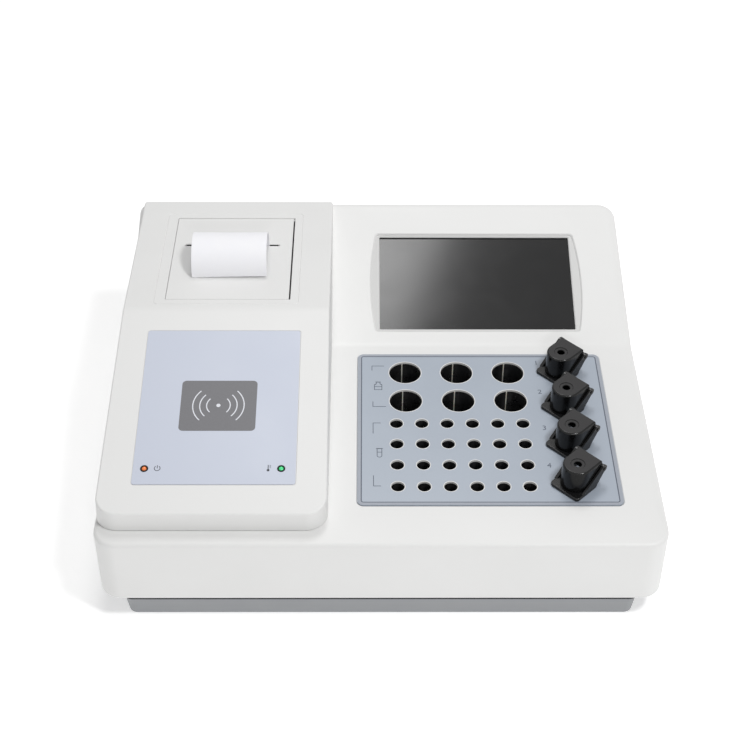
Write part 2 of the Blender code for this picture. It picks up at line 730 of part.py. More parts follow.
READER_POSTS = [(x, READER_FROM_EDGE + y, 0)
                for x, y, _ in corners(READER_WIDTH / 2 - BOARD_HOLE_INSET,
                                       READER_LENGTH / 2 - BOARD_HOLE_INSET)]
OPTICS_POSTS = [(CHANNEL_SHIFT_X, side * OPTICS_POST_Y, 0) for side in (-1, 1)]
BOARD_POSTS = [(MAIN_BOARD_X + x, MAIN_BOARD_Y + y, 0)
               for x, y, _ in corners(MAIN_BOARD_WIDTH / 2 - BOARD_HOLE_INSET,
                                      MAIN_BOARD_LENGTH / 2 - BOARD_HOLE_INSET)]
SUPPLY_POSTS = [(SUPPLY_X + x, SUPPLY_Y + y, 0)
                for x, y, _ in corners(SUPPLY_WIDTH / 2 - BOARD_HOLE_INSET,
                                       SUPPLY_LENGTH / 2 - BOARD_HOLE_INSET)]
REAR_PLATE_PEGS = [(REAR_PLATE_X + side * (REAR_PLATE_WIDTH - REAR_OPENING_MARGIN) / 2, 0, CONNECTOR_Z)
                   for side in (-1, 1)]


def body_plan(inset):
    """The body seen from above, moved inwards by inset."""
    corner_points = rectangle(-BODY_SIDE + inset, BODY_FRONT + inset, BODY_SIDE - inset, BODY_REAR - inset)
    front = BODY_FRONT_RADIUS - inset
    rear = BODY_REAR_RADIUS - inset
    return rounded(corner_points, [front, front, rear, rear], BODY_CORNER_FACETS)


def cover_plan(inset, height):
    """The left cover seen from above at a height, moved inwards by inset."""
    draft_share = (height - FRONT_EDGE_HEIGHT) / (COVER_TOP_HEIGHT - FRONT_EDGE_HEIGHT)
    left = COVER_LEFT + inset + COVER_LEFT_DRAFT * draft_share
    right = COVER_RIGHT - inset - COVER_RIGHT_DRAFT * draft_share
    corner_points = rectangle(left, COVER_FRONT + inset, right, COVER_REAR - inset)
    return rounded(corner_points, COVER_RADIUS - inset, COVER_CORNER_FACETS)


def cover_column(name, inset, low, high):
    """Column with the left cover's plan and draft."""
    return tapered_mesh(name, cover_plan(inset, low), cover_plan(inset, high), low, high)


# Housing and base
def make_main_housing():
    low = SKIRT_HEIGHT
    front, fold, rear = roof_line(0)
    side_view = [(front[0], low), (rear[0], low), rear, fold, front]
    mesh = plate_mesh("side_view", [side_view], -BODY_SIDE, BODY_SIDE, SIDEWAYS)
    housing = place("main_housing", mesh)
    keep(housing, plate_mesh("plan", [body_plan(0)], low - OVERRUN, rear[1] + OVERRUN))
    round_edges(housing, BODY_EDGE_ROUND)
    cavity = side_solid("cavity", roof_line(BODY_WALL), low - OVERRUN, BODY_SIDE)
    cavity_tool = cut(housing, cavity)
    keep(cavity_tool, plate_mesh("cavity_plan", [body_plan(BODY_WALL)], low - 2 * OVERRUN, rear[1]))
    add_housing_bosses(housing)
    cut_housing_openings(housing)
    return finish(housing, "white_abs")


def side_solid(name, line, low, half_width):
    """Solid under a roof line, down to low, that runs along X."""
    outline = [(line[0][0], low), (line[-1][0], low)] + line[::-1]
    return plate_mesh(name, [outline], -half_width, half_width, SIDEWAYS)


def add_housing_bosses(housing):
    root = -BODY_WALL * 2 / 3
    bosses = bmesh.new()
    for x, y, _ in BODY_BOSSES:
        add_rod(bosses, (x, y, 0), BOSS_RADIUS, PAN_FLANGE_HIGH + GAP, roof_height(y) + root, SMALL_FACETS)
    join(housing, mesh_from(bosses, "bosses"))
    cut(housing, rod_mesh("screw_holes", BODY_BOSSES, SCREW_HOLE_RADIUS, SKIRT_HEIGHT,
                          PAN_FLANGE_HIGH + SCREW_LENGTH, SMALL_FACETS))
    add_posts(housing, "carrier", CARRIER_POSTS, root, CARRIER_TOP + GAP, CARRIER_BOTTOM - PEG_REACH, PANEL)
    add_posts(housing, "optics", OPTICS_POSTS, root, OPTICS_TOP + GAP,
              OPTICS_TOP - BOARD_THICKNESS - PEG_REACH, PANEL)
    add_posts(housing, "display", DISPLAY_POSTS, root, BRACKET_TOP + GAP,
              BRACKET_BOTTOM - PEG_REACH, DISPLAY)
    peg_end = REAR_PLATE_OUTER - REAR_PLATE_SHEET - PEG_REACH
    join(housing, rod_mesh("rear_pegs", REAR_PLATE_PEGS, PEG_RADIUS, peg_end, BODY_REAR - BODY_WALL / 2,
                           SMALL_FACETS, ALONG_Y))


def roof_height(y):
    """Height of the housing's roof at a place from front to rear."""
    front, fold, _ = roof_line(0)
    if y < fold[0]:
        return front[1] + (y - front[0]) * tan(DECK_SLOPE)
    return fold[1] + (y - fold[0]) * tan(SCREEN_SLOPE)


def cover_height(y):
    """Height of the left cover's roof at a place from front to rear."""
    front, fold, _ = cover_line(0)
    return min(front[1] + (y - front[0]) * tan(COVER_SLOPE), fold[1])


def cut_housing_openings(housing):
    half_width = PANEL_WIDTH / 2 + GAP
    half_length = PANEL_LENGTH / 2 + GAP
    panel = rounded(rectangle(-half_width, -half_length, half_width, half_length), PANEL_RADIUS)
    cut(housing, plate_mesh("panel_recess", [panel], -PANEL_RECESS, OVERRUN), PANEL)
    left = WELLS_SHIFT_X - BAR_WIDTH / 2 - GAP
    right = WELLS_SHIFT_X + BAR_WIDTH / 2 + GAP
    cut(housing, box_mesh("bars_window", ((left, BARS_FRONT - GAP, -OVERRUN),
                                          (right, BARS_REAR + GAP, OVERRUN))), PANEL)
    sockets = [(x, y, 0) for x, y in CHANNELS]
    cut(housing, rod_mesh("socket_holes", sockets, SOCKET_RADIUS + GAP, -OVERRUN, OVERRUN), PANEL)
    cut(housing, plate_mesh("screen_recess", [bowed_outline()], -RECESS_DEPTH, OVERRUN), DISPLAY)
    view = ((-VIEW_WIDTH / 2, -VIEW_LENGTH / 2, -OVERRUN), (VIEW_WIDTH / 2, VIEW_LENGTH / 2, OVERRUN))
    cut(housing, box_mesh("view_window", view), DISPLAY)
    cut(housing, box_mesh("cover_opening", (
        (COVER_OPENING_LEFT, COVER_OPENING_FRONT, PAN_FLANGE_HIGH + 2 * OVERRUN),
        (COVER_OPENING_RIGHT, COVER_OPENING_REAR, COVER_TOP_HEIGHT + OVERRUN))))
    pegs = bmesh.new()
    for x, y in COVER_POSTS:
        add_rod(pegs, (x, y, 0), PEG_HOLE_RADIUS, roof_height(y) - OVERRUN, roof_height(y) + OVERRUN,
                SMALL_FACETS)
    cut(housing, mesh_from(pegs, "cover_peg_holes"))
    half = REAR_PLATE_WIDTH / 2 - REAR_OPENING_MARGIN
    cut(housing, box_mesh("rear_opening", (
        (REAR_PLATE_X - half, BODY_REAR - BODY_WALL - OVERRUN / 2, REAR_PLATE_BOTTOM + REAR_OPENING_MARGIN),
        (REAR_PLATE_X + half, BODY_REAR + OVERRUN,
         REAR_PLATE_BOTTOM + REAR_PLATE_HEIGHT - REAR_OPENING_MARGIN))))


def bowed_outline():
    """Outline of the recess round the display: its left and right sides bow outwards."""
    half_width = RECESS_WIDTH / 2
    half_length = RECESS_LENGTH / 2
    rise_shares = [(2 * step / BOW_FACETS - 1) for step in range(BOW_FACETS + 1)]
    right = [(half_width + RECESS_BOW * (1 - share ** 2), half_length * share) for share in rise_shares]
    left = [(-x, -y) for x, y in right]
    radii = ([RECESS_RADIUS] + [0] * (BOW_FACETS - 1) + [RECESS_RADIUS]) * 2
    return rounded(right + left, radii)


def make_base_pan():
    def outline(side, front, radius):
        return rounded(rectangle(-side, -front, side, front), radius)

    top_side = BODY_SIDE - PAN_SIDE_INSET
    top_front = BODY_REAR - PAN_FRONT_INSET
    low_outline = outline(top_side - PAN_DRAFT, top_front - PAN_DRAFT / 2, PAN_RADIUS)
    high_outline = outline(top_side, top_front, PAN_RADIUS)
    solid = tapered_mesh("base_pan", low_outline, high_outline, PAN_BOTTOM, PAN_FLANGE_HIGH)
    pan = place("base_pan", solid)
    flange = body_plan(BODY_WALL + GAP)
    join(pan, plate_mesh("flange", [flange], PAN_FLANGE_LOW, PAN_FLANGE_HIGH))
    inner_side = top_side - PAN_SHEET
    inner_front = top_front - PAN_SHEET
    inner_radius = PAN_RADIUS - PAN_SHEET
    low_outline = outline(inner_side - PAN_DRAFT, inner_front - PAN_DRAFT / 2, inner_radius)
    high_outline = outline(inner_side, inner_front, inner_radius)
    cut(pan, tapered_mesh("hollow", low_outline, high_outline, PAN_FLOOR, PAN_FLANGE_HIGH + OVERRUN))
    cut(pan, rod_mesh("screw_holes", BODY_BOSSES, SCREW_HOLE_RADIUS, PAN_FLANGE_LOW - OVERRUN / 2,
                      PAN_FLANGE_HIGH + OVERRUN, SMALL_FACETS))
    add_posts(pan, "floor", BOARD_POSTS + SUPPLY_POSTS, PAN_FLOOR - PAN_SHEET / 2, BOARD_BOTTOM - GAP,
              BOARD_BOTTOM + BOARD_THICKNESS + PEG_REACH)
    return finish(pan, "grey_paint")


def make_feet():
    half_x = BODY_SIDE - PAN_SIDE_INSET - PAN_DRAFT - FOOT_INSET
    half_y = BODY_REAR - PAN_FRONT_INSET - PAN_DRAFT - FOOT_INSET
    for number, where in enumerate(corners(half_x, half_y), 1):
        name = f"rubber_foot_{number}"
        mesh = rod_mesh(name, [(0, 0, 0)], FOOT_RADIUS, 0, FOOT_THICKNESS)
        finish(place(name, mesh, location=where), "rubber")


def make_case_screws():
    """Pan head screws that go up through the base pan's flange into the housing's corner bosses."""
    profile = [(0, SCREW_LENGTH), (SCREW_RADIUS, SCREW_LENGTH), (SCREW_RADIUS, 0), (SCREW_HEAD_RADIUS, 0),
               (SCREW_HEAD_RADIUS, -SCREW_HEAD / 2), (SCREW_HEAD_RADIUS - SCREW_HEAD / 2, -SCREW_HEAD),
               (SCREW_DRIVE_RADIUS, -SCREW_HEAD), (SCREW_DRIVE_RADIUS, SCREW_DRIVE_DEPTH - SCREW_HEAD),
               (0, SCREW_DRIVE_DEPTH - SCREW_HEAD)]
    for number, (x, y, _) in enumerate(BODY_BOSSES, 1):
        where = (x, y, PAN_FLANGE_LOW - GAP)
        finish(turned(f"case_screw_{number}", profile, SMALL_FACETS, location=where), "steel")


# Left cover with the card reader
def make_left_cover():
    low = FRONT_EDGE_HEIGHT - OVERRUN
    mesh = side_solid("cover_side_view", cover_line(0), low, BODY_WIDTH)
    cover = place("left_cover", mesh)
    keep(cover, cover_column("plan", 0, low - OVERRUN, COVER_TOP_HEIGHT + OVERRUN))
    cut(cover, under_cover_mesh("housing_side"))
    round_edges(cover, COVER_EDGE_ROUND)
    cavity = cut(cover, side_solid("cavity", cover_line(COVER_WALL), low - OVERRUN, BODY_WIDTH))
    keep(cavity, cover_column("cavity_plan", COVER_WALL, low - 2 * OVERRUN, COVER_TOP_HEIGHT + OVERRUN))
    add_cover_bosses(cover)
    cut_cover_openings(cover)
    return finish(cover, "white_abs")


def under_cover_mesh(name):
    """Everything below the housing's roof, with the gap that the cover keeps."""
    front, fold, rear = roof_line(-GAP)
    reach = BODY_DEPTH
    far_front = (front[0] - reach, front[1] - reach * tan(DECK_SLOPE))
    far_rear = (rear[0] + reach, rear[1] + reach * tan(SCREEN_SLOPE))
    return side_solid(name, [far_front, fold, far_rear], -reach, BODY_WIDTH + OVERRUN)


def add_cover_bosses(cover):
    """Posts on the housing's flange with pegs through it, posts for the printer bay and for the reader."""
    posts = bmesh.new()
    pegs = bmesh.new()
    for x, y in COVER_POSTS:
        foot = roof_height(y) + POST_RADIUS * tan(DECK_SLOPE) + GAP
        top = cover_height(y) - COVER_WALL / 2
        add_rod(posts, (x, y, 0), POST_RADIUS, foot, top, SMALL_FACETS)
        add_rod(pegs, (x, y, 0), PEG_RADIUS, roof_height(y) - BODY_WALL - PEG_REACH, top - COVER_WALL,
                SMALL_FACETS)
    join(cover, mesh_from(posts, "posts"))
    join(cover, mesh_from(pegs, "pegs"))
    add_posts(cover, "bay", BAY_POSTS, COVER_TOP_HEIGHT - COVER_WALL / 2, BAY_EAR_TOP + GAP,
              BAY_EAR_BOTTOM - PEG_REACH)
    add_posts(cover, "reader", READER_POSTS, -COVER_WALL / 2, READER_TOP + GAP,
              READER_TOP - BOARD_THICKNESS - PEG_REACH, CARD)


def cut_cover_openings(cover):
    half_width = LID_WIDTH / 2 + LID_GAP
    cut(cover, box_mesh("lid_opening", (
        (COVER_MIDDLE - half_width, LID_FRONT - LID_GAP, COVER_TOP_HEIGHT - OVERRUN),
        (COVER_MIDDLE + half_width, LID_REAR + LID_GAP, COVER_TOP_HEIGHT + OVERRUN))))
    reach = half_width + LID_PIN_REACH + GAP
    bores = rod_mesh("pin_bores", [(0, 0, 0)], LID_PIN_RADIUS + GAP, -reach, reach, SMALL_FACETS, ALONG_X)
    cut(cover, bores, LID)
    half_label = LABEL_WIDTH / 2 + GAP
    label = rounded(rectangle(-half_label, LABEL_FROM_EDGE - GAP, half_label,
                              LABEL_FROM_EDGE + LABEL_LENGTH + GAP), LABEL_RADIUS)
    cut(cover, plate_mesh("label_recess", [label], -LABEL_RECESS, OVERRUN), CARD)
    lamps = [(x, LAMP_FROM_EDGE, 0) for x in (-LAMP_SPACING / 2, LAMP_SPACING / 2)]
    cut(cover, rod_mesh("lamp_holes", lamps, LAMP_RADIUS + GAP, -OVERRUN, OVERRUN, SMALL_FACETS), CARD)


def make_card_label():
    low = GAP - LABEL_RECESS
    half = LABEL_WIDTH / 2
    outline = rounded(rectangle(-half, LABEL_FROM_EDGE, half, LABEL_FROM_EDGE + LABEL_LENGTH), LABEL_RADIUS)
    lamps = (-LAMP_SPACING / 2, LAMP_SPACING / 2)
    holes = [circle(x, LAMP_FROM_EDGE, LAMP_RADIUS + GAP, SMALL_FACETS) for x in lamps]
    mesh = plate_mesh("card_label", [outline] + holes, low, low + LABEL_THICKNESS)
    return finish(place("card_label", mesh, CARD), "label_film")


def make_lamp(name, side, colour):
    """Domed lamp lens with a flange under the cover."""
    flange_top = -COVER_WALL - GAP
    turns = [pi / 2 * step / DOME_FACETS for step in range(DOME_FACETS + 1)]
    dome = [(LAMP_RADIUS * sin(turn), LAMP_RISE * cos(turn)) for turn in turns]
    profile = dome + [(LAMP_RADIUS, flange_top), (LAMP_FLANGE_RADIUS, flange_top),
                      (LAMP_FLANGE_RADIUS, flange_top - LAMP_FLANGE), (0, flange_top - LAMP_FLANGE)]
    where = (side * LAMP_SPACING / 2, LAMP_FROM_EDGE, 0)
    return finish(turned(name, profile, SMALL_FACETS, CARD, where), colour)


def make_reader_board():
    """Board under the slope: the card antenna is printed on it and it lights the two lamps."""
    half_x = READER_WIDTH / 2
    half_y = READER_LENGTH / 2
    outline = rectangle(-half_x, -half_y, half_x, half_y)
    holes = [circle(x, y - READER_FROM_EDGE, PEG_HOLE_RADIUS, SMALL_FACETS) for x, y, _ in READER_POSTS]
    low = READER_TOP - BOARD_THICKNESS
    middle = (0, READER_FROM_EDGE, 0)
    mesh = plate_mesh("card_reader_board", [outline] + holes, low, READER_TOP)
    board = place("card_reader_board", mesh, CARD, middle)
    unit = READER_LENGTH / 10
    root = low + BOARD_THICKNESS / 2
    chip = ((-unit, -unit, low - BOARD_THICKNESS), (unit, unit, root))
    connector = ((-2 * unit, 2 * unit, low - 3 * BOARD_THICKNESS), (2 * unit, 3 * unit, root))
    join(board, box_mesh("components", chip, connector), CARD, middle)
    return finish(board, "board")


# Printer
def make_printer_lid():
    """Flat lid whose rear edge is a half round about the pins, so that it swings in its opening."""
    half = LID_THICKNESS / 2
    front = LID_FRONT - LID_PIN_Y
    turns = [pi * step / HALF_ROUND_FACETS for step in range(HALF_ROUND_FACETS + 1)]
    rear = [(half * sin(turn), half * cos(turn)) for turn in turns]
    mesh = plate_mesh("printer_lid", [[(front, half)] + rear + [(front, -half)]],
                      -LID_WIDTH / 2, LID_WIDTH / 2, SIDEWAYS)
    lid = place("printer_lid", mesh, LID)
    slot_y = SLOT_Y - LID_PIN_Y
    cut(lid, box_mesh("slot", ((-SLOT_WIDTH / 2, slot_y - SLOT_OPENING / 2, -OVERRUN),
                               (SLOT_WIDTH / 2, slot_y + SLOT_OPENING / 2, OVERRUN))), LID)
    reach = LID_WIDTH / 2 + LID_GAP + LID_PIN_REACH
    join(lid, rod_mesh("pins", [(0, 0, 0)], LID_PIN_RADIUS, -reach, reach, SMALL_FACETS, ALONG_X), LID)
    return finish(lid, "white_abs")


def make_printer_bay():
    """Tray under the lid: a deep pocket for the roll and a shallower floor for the mechanism."""
    def side_view(inset, top):
        front = BAY_FRONT - BAY_WALL + inset
        step = BAY_FRONT + BAY_POCKET_LENGTH + BAY_WALL - inset
        rear = BAY_REAR + BAY_WALL - inset
        pocket = BAY_POCKET_FLOOR - BAY_WALL + inset
        floor = BAY_REAR_FLOOR - BAY_WALL + inset
        return [(front, pocket), (step, pocket), (step, floor), (rear, floor), (rear, top), (front, top)]

    outer = BAY_HALF_WIDTH + BAY_WALL
    mesh = plate_mesh("printer_bay", [side_view(0, BAY_TOP)], -outer, outer, SIDEWAYS)
    bay = place("printer_bay", mesh, location=(COVER_MIDDLE, 0, 0))
    cut(bay, plate_mesh("hollow", [side_view(BAY_WALL, BAY_TOP + OVERRUN)], -BAY_HALF_WIDTH, BAY_HALF_WIDTH,
                        SIDEWAYS), location=(COVER_MIDDLE, 0, 0))
    ears = bmesh.new()
    for x, y, _ in BAY_POSTS:
        toward_wall = BAY_WALL / 4 if y < SLOT_Y else -BAY_WALL / 4
        half_length = (BAY_EAR_LENGTH + BAY_WALL / 2) / 2
        add_box(ears, (x - BAY_EAR_WIDTH / 2, y + toward_wall - half_length, BAY_EAR_BOTTOM),
                (x + BAY_EAR_WIDTH / 2, y + toward_wall + half_length, BAY_EAR_TOP))
    join(bay, mesh_from(ears, "ears"))
    cut(bay, rod_mesh("ear_holes", BAY_POSTS, PEG_HOLE_RADIUS, BAY_EAR_BOTTOM - OVERRUN,
                      BAY_EAR_TOP + OVERRUN, SMALL_FACETS))
    join(bay, spindle_rib_mesh())
    return finish(bay, "grey_plastic")


def spindle_rib_mesh():
    """Two ribs in the pocket, each with a notch that holds an end of the spindle."""
    half = ROLL_RADIUS / 2
    notch = SPINDLE_RADIUS + GAP
    bottom = BAY_POCKET_FLOOR - BAY_WALL / 2 - ROLL_Z
    turns = [-pi * step / HALF_ROUND_FACETS for step in range(HALF_ROUND_FACETS + 1)]
    arc = [(notch * cos(turn), notch * sin(turn)) for turn in turns]
    outline = [(half, bottom), (half, 0)] + arc + [(-half, 0), (-half, bottom)]
    work = bmesh.new()
    for sign in (-1, 1):
        low, high = sorted((sign * (BAY_HALF_WIDTH + BAY_WALL / 2), sign * (BAY_HALF_WIDTH - SPINDLE_RIB)))
        rib = plate_mesh("rib", [outline], low, high, SIDEWAYS)
        rib.transform(Matrix.Translation((COVER_MIDDLE, ROLL_Y, ROLL_Z)))
        work.from_mesh(rib)
        bpy.data.meshes.remove(rib)
    return mesh_from(work, "ribs")


def make_roll():
    bore = SPINDLE_RADIUS + ROLL_BORE_GAP
    half = PAPER_WIDTH / 2
    loops = [circle(0, 0, ROLL_RADIUS, LARGE_FACETS), circle(0, 0, bore, FACETS)]
    finish(place("paper_roll", plate_mesh("paper_roll", loops, -half, half, SIDEWAYS), ROLL), "paper")
    reach = BAY_HALF_WIDTH - GAP
    spindle = rod_mesh("roll_spindle", [(0, 0, 0)], SPINDLE_RADIUS, -reach, reach, FACETS, ALONG_X)
    finish(place("roll_spindle", spindle, ROLL), "grey_plastic")


def web_line():
    """Paper path in the side view: off the back of the roll, round a bend, then up to the lid."""
    bend_centre = Vector((SLOT_Y - WEB_BEND_RADIUS, PLATEN_Z - 2 * PLATEN_RADIUS))
    roll_centre = Vector((ROLL_Y, ROLL_Z))
    reach = ROLL_RADIUS + GAP + PAPER_THICKNESS
    between = bend_centre - roll_centre
    climb = math.atan2(between.y, between.x) - math.asin((WEB_BEND_RADIUS - reach) / between.length)
    line = [tuple(roll_centre + Vector((sin(climb), -cos(climb))) * reach)]
    for step in range(BEND_FACETS + 1):
        turn = climb - pi / 2 + (pi / 2 - climb) * step / BEND_FACETS
        line.append(tuple(bend_centre + Vector((cos(turn), sin(turn))) * WEB_BEND_RADIUS))
    line.append((SLOT_Y, LID_BOTTOM - GAP))
    return line


def make_paper():
    half = PAPER_WIDTH / 2
    web = plate_mesh("paper_web", [ribbon(web_line(), PAPER_THICKNESS)], -half, half, SIDEWAYS)
    finish(place("paper_web", web, location=(COVER_MIDDLE, 0, 0)), "paper")
    centre_y = SLOT_Y - CURL_RADIUS
    centre_z = COVER_TOP_HEIGHT + GAP + PAPER_THICKNESS / 2
    line = [(SLOT_Y - LID_PIN_Y, LID_BOTTOM - LID_PIN_Z)]
    for step in range(CURL_FACETS + 1):
        turn = pi * step / CURL_FACETS
        line.append((centre_y + CURL_RADIUS * cos(turn) - LID_PIN_Y,
                     centre_z + CURL_RADIUS * sin(turn) - LID_PIN_Z))
    curl = plate_mesh("paper_curl", [ribbon(line, PAPER_THICKNESS)], -half, half, SIDEWAYS)
    finish(place("paper_curl", curl, LID), "paper")


def gear_places():
    """Axes of the platen gear, the idler and the pinion in the side view."""
    platen = Vector((PLATEN_Y, PLATEN_Z))
    first = GEAR_MODULE * (PLATEN_TEETH + IDLER_TEETH) / 2
    second = GEAR_MODULE * (IDLER_TEETH + PINION_TEETH) / 2
    idler = platen + Vector((cos(IDLER_DIRECTION), sin(IDLER_DIRECTION))) * first
    pinion = idler + Vector((cos(PINION_DIRECTION), sin(PINION_DIRECTION))) * second
    return platen, idler, pinion


def make_gear(name, axis, teeth, phase, bore=None):
    """Gear on its own axis, with a bore or solid."""
    loops = [gear_outline(teeth, GEAR_MODULE, phase)]
    if bore:
        loops.append(circle(0, 0, bore, SMALL_FACETS))
    mesh = plate_mesh(name, loops, GEAR_X, GEAR_X + GEAR_WIDTH, SIDEWAYS)
    return finish(place(name, mesh, location=(COVER_MIDDLE, axis.x, axis.y)), "nylon")


def make_gears():
    """Gear train: each gear has a tooth or a space where it meets its neighbour."""
    platen, idler, pinion = gear_places()
    make_gear("platen_gear", platen, PLATEN_TEETH, IDLER_DIRECTION, SHAFT_RADIUS + GAP)
    idler_phase = IDLER_DIRECTION + pi + pi / IDLER_TEETH
    make_gear("idler_gear", idler, IDLER_TEETH, idler_phase, STUD_RADIUS + GAP)
    toward_pinion = (PINION_DIRECTION - idler_phase) / (2 * pi / IDLER_TEETH)
    offset = (toward_pinion - round(toward_pinion)) * 2 * pi / IDLER_TEETH
    pinion_phase = PINION_DIRECTION + pi + pi / PINION_TEETH + offset * IDLER_TEETH / PINION_TEETH
    gear = make_gear("motor_pinion", pinion, PINION_TEETH, pinion_phase)
    inner = FRAME_HALF_WIDTH - MOTOR_LENGTH / 2
    shaft = rod_mesh("shaft", [(0, 0, 0)], MOTOR_SHAFT_RADIUS, inner, GEAR_X + GEAR_WIDTH / 2,
                     SMALL_FACETS, ALONG_X)
    join(gear, shaft, location=gear.location)


def make_mechanism_frame():
    outer = FRAME_HALF_WIDTH + FRAME_SHEET
    platen, idler, pinion = gear_places()
    front = SLOT_Y - FRAME_FRONT_REACH
    rear = SLOT_Y + FRAME_REAR_REACH
    step_y = PLATEN_Y + 2 * PLATEN_RADIUS
    top = PLATEN_Z + FRAME_TOP_RISE
    step_z = pinion.y + MOTOR_RADIUS + MOTOR_SHAFT_RADIUS
    outline = [(front, FRAME_BASE), (rear, FRAME_BASE), (rear, step_z), (step_y, step_z), (step_y, top),
               (front, top)]
    mesh = plate_mesh("mechanism_frame", [outline], -outer, outer, SIDEWAYS)
    frame = place("mechanism_frame", mesh, location=(COVER_MIDDLE, 0, 0))
    middle = (COVER_MIDDLE, 0, 0)
    cut(frame, box_mesh("inside", ((-FRAME_HALF_WIDTH, front - OVERRUN, FRAME_BASE + FRAME_SHEET),
                                   (FRAME_HALF_WIDTH, rear + OVERRUN, top + OVERRUN))), location=middle)
    cut(frame, rod_mesh("shaft_holes", [(0, platen.x, platen.y)], SHAFT_RADIUS + GAP, -outer - OVERRUN,
                        outer + OVERRUN, SMALL_FACETS, ALONG_X), location=middle)
    cut(frame, rod_mesh("motor_hole", [(0, pinion.x, pinion.y)], MOTOR_SHAFT_RADIUS + GAP, 0,
                        outer + OVERRUN, SMALL_FACETS, ALONG_X), location=middle)
    join(frame, rod_mesh("idler_stud", [(0, idler.x, idler.y)], STUD_RADIUS, outer - FRAME_SHEET / 2,
                         GEAR_X + GEAR_WIDTH + GEAR_SIDE_GAP, SMALL_FACETS, ALONG_X), location=middle)
    return finish(frame, "steel")


def make_platen():
    bore = SHAFT_RADIUS + GAP
    half = PAPER_WIDTH / 2
    loops = [circle(0, 0, PLATEN_RADIUS, FACETS), circle(0, 0, bore, SMALL_FACETS)]
    rubber = plate_mesh("platen_roller", loops, -half, half, SIDEWAYS)
    finish(place("platen_roller", rubber, PLATEN), "rubber")
    left = -FRAME_HALF_WIDTH - FRAME_SHEET - GEAR_SIDE_GAP
    right = GEAR_X + GEAR_WIDTH + GEAR_SIDE_GAP
    shaft = rod_mesh("platen_shaft", [(0, 0, 0)], SHAFT_RADIUS, left, right, SMALL_FACETS, ALONG_X)
    finish(place("platen_shaft", shaft, PLATEN), "steel")


def make_print_head():
    """Head block in front of the paper, with a heater ridge level with the platen."""
    reach = FRAME_HALF_WIDTH - GAP
    face = SLOT_Y - PAPER_THICKNESS / 2 - GAP
    low = PLATEN_Z + HEAD_RISE - HEAD_HEIGHT
    ridge = PLATEN_RADIUS / 5
    high = low + HEAD_HEIGHT
    outline = [(face - HEAD_THICKNESS, low), (face - ridge, low), (face, low + ridge),
               (face, PLATEN_Z + ridge), (face - ridge, PLATEN_Z + 2 * ridge), (face - ridge, high),
               (face - HEAD_THICKNESS, high)]
    mesh = plate_mesh("print_head", [outline], -reach, reach, SIDEWAYS)
    return finish(place("print_head", mesh, location=(COVER_MIDDLE, 0, 0)), "aluminium")


def make_feed_motor():
    _, _, pinion = gear_places()
    face = FRAME_HALF_WIDTH - GAP
    middle = (COVER_MIDDLE, pinion.x, pinion.y)
    can = rod_mesh("feed_motor", [(0, 0, 0)], MOTOR_RADIUS, face - MOTOR_LENGTH, face, FACETS, ALONG_X)
    motor = place("feed_motor", can, location=middle)
    cut(motor, rod_mesh("shaft_bore", [(0, 0, 0)], MOTOR_SHAFT_RADIUS + GAP, face - MOTOR_LENGTH / 2,
                        face + OVERRUN, SMALL_FACETS, ALONG_X), location=middle)
    return finish(motor, "steel")


# Display
def make_display():
    half_x = MODULE_WIDTH / 2
    half_y = MODULE_LENGTH / 2
    glass = box_mesh("display_glass", ((-half_x, -half_y, GLASS_TOP - GLASS_THICKNESS),
                                       (half_x, half_y, GLASS_TOP)))
    finish(place("display_glass", glass, DISPLAY), "glass")
    module = box_mesh("lcd_module", ((-half_x, -half_y, MODULE_TOP - MODULE_THICKNESS),
                                     (half_x, half_y, MODULE_TOP)))
    finish(place("lcd_module", module, DISPLAY), "steel")
    reach_x = DISPLAY_POST_X + POST_RADIUS
    reach_y = BRACKET_ROW / 2 + POST_RADIUS
    outline = rounded(rectangle(-reach_x, -reach_y, reach_x, reach_y), POST_RADIUS)
    holes = [circle(x, y, PEG_HOLE_RADIUS, SMALL_FACETS) for x, y, _ in DISPLAY_POSTS]
    bracket = plate_mesh("display_bracket", [outline] + holes, BRACKET_BOTTOM, BRACKET_TOP)
    finish(place("display_bracket", bracket, DISPLAY), "steel")


# Well panel and incubator
def make_well_panel():
    half_x = PANEL_WIDTH / 2
    half_y = PANEL_LENGTH / 2
    loops = [rounded(rectangle(-half_x, -half_y, half_x, half_y), PANEL_RADIUS)]
    for row in REAGENT_WELLS:
        loops += [circle(x, y, REAGENT_RADIUS, LARGE_FACETS) for x, y in row]
    for row in SAMPLE_WELLS:
        loops += [circle(x, y, SAMPLE_RADIUS, SAMPLE_FACETS) for x, y in row]
    loops += [circle(x, y, SOCKET_RADIUS + GAP, FACETS) for x, y in CHANNELS]
    mesh = plate_mesh("well_panel", loops, PANEL_BOTTOM, PANEL_TOP)
    return finish(place("well_panel", mesh, PANEL), "panel_film")


def make_bars(kind, rows, radius, sides, depth, length):
    """One heated bar for each row of wells."""
    for number, row in enumerate(rows, 1):
        name = f"{kind}_bar_{number}"
        middle_y = row[0][1]
        low = (WELLS_SHIFT_X - BAR_WIDTH / 2, middle_y - length / 2, BAR_BOTTOM)
        high = (WELLS_SHIFT_X + BAR_WIDTH / 2, middle_y + length / 2, BAR_TOP)
        bar = place(name, box_mesh(name, (low, high)), PANEL)
        wells = [(x, y, 0) for x, y in row]
        cut(bar, rod_mesh("wells", wells, radius, BAR_TOP - depth, BAR_TOP + OVERRUN, sides), PANEL)
        finish(bar, "black_anodised")


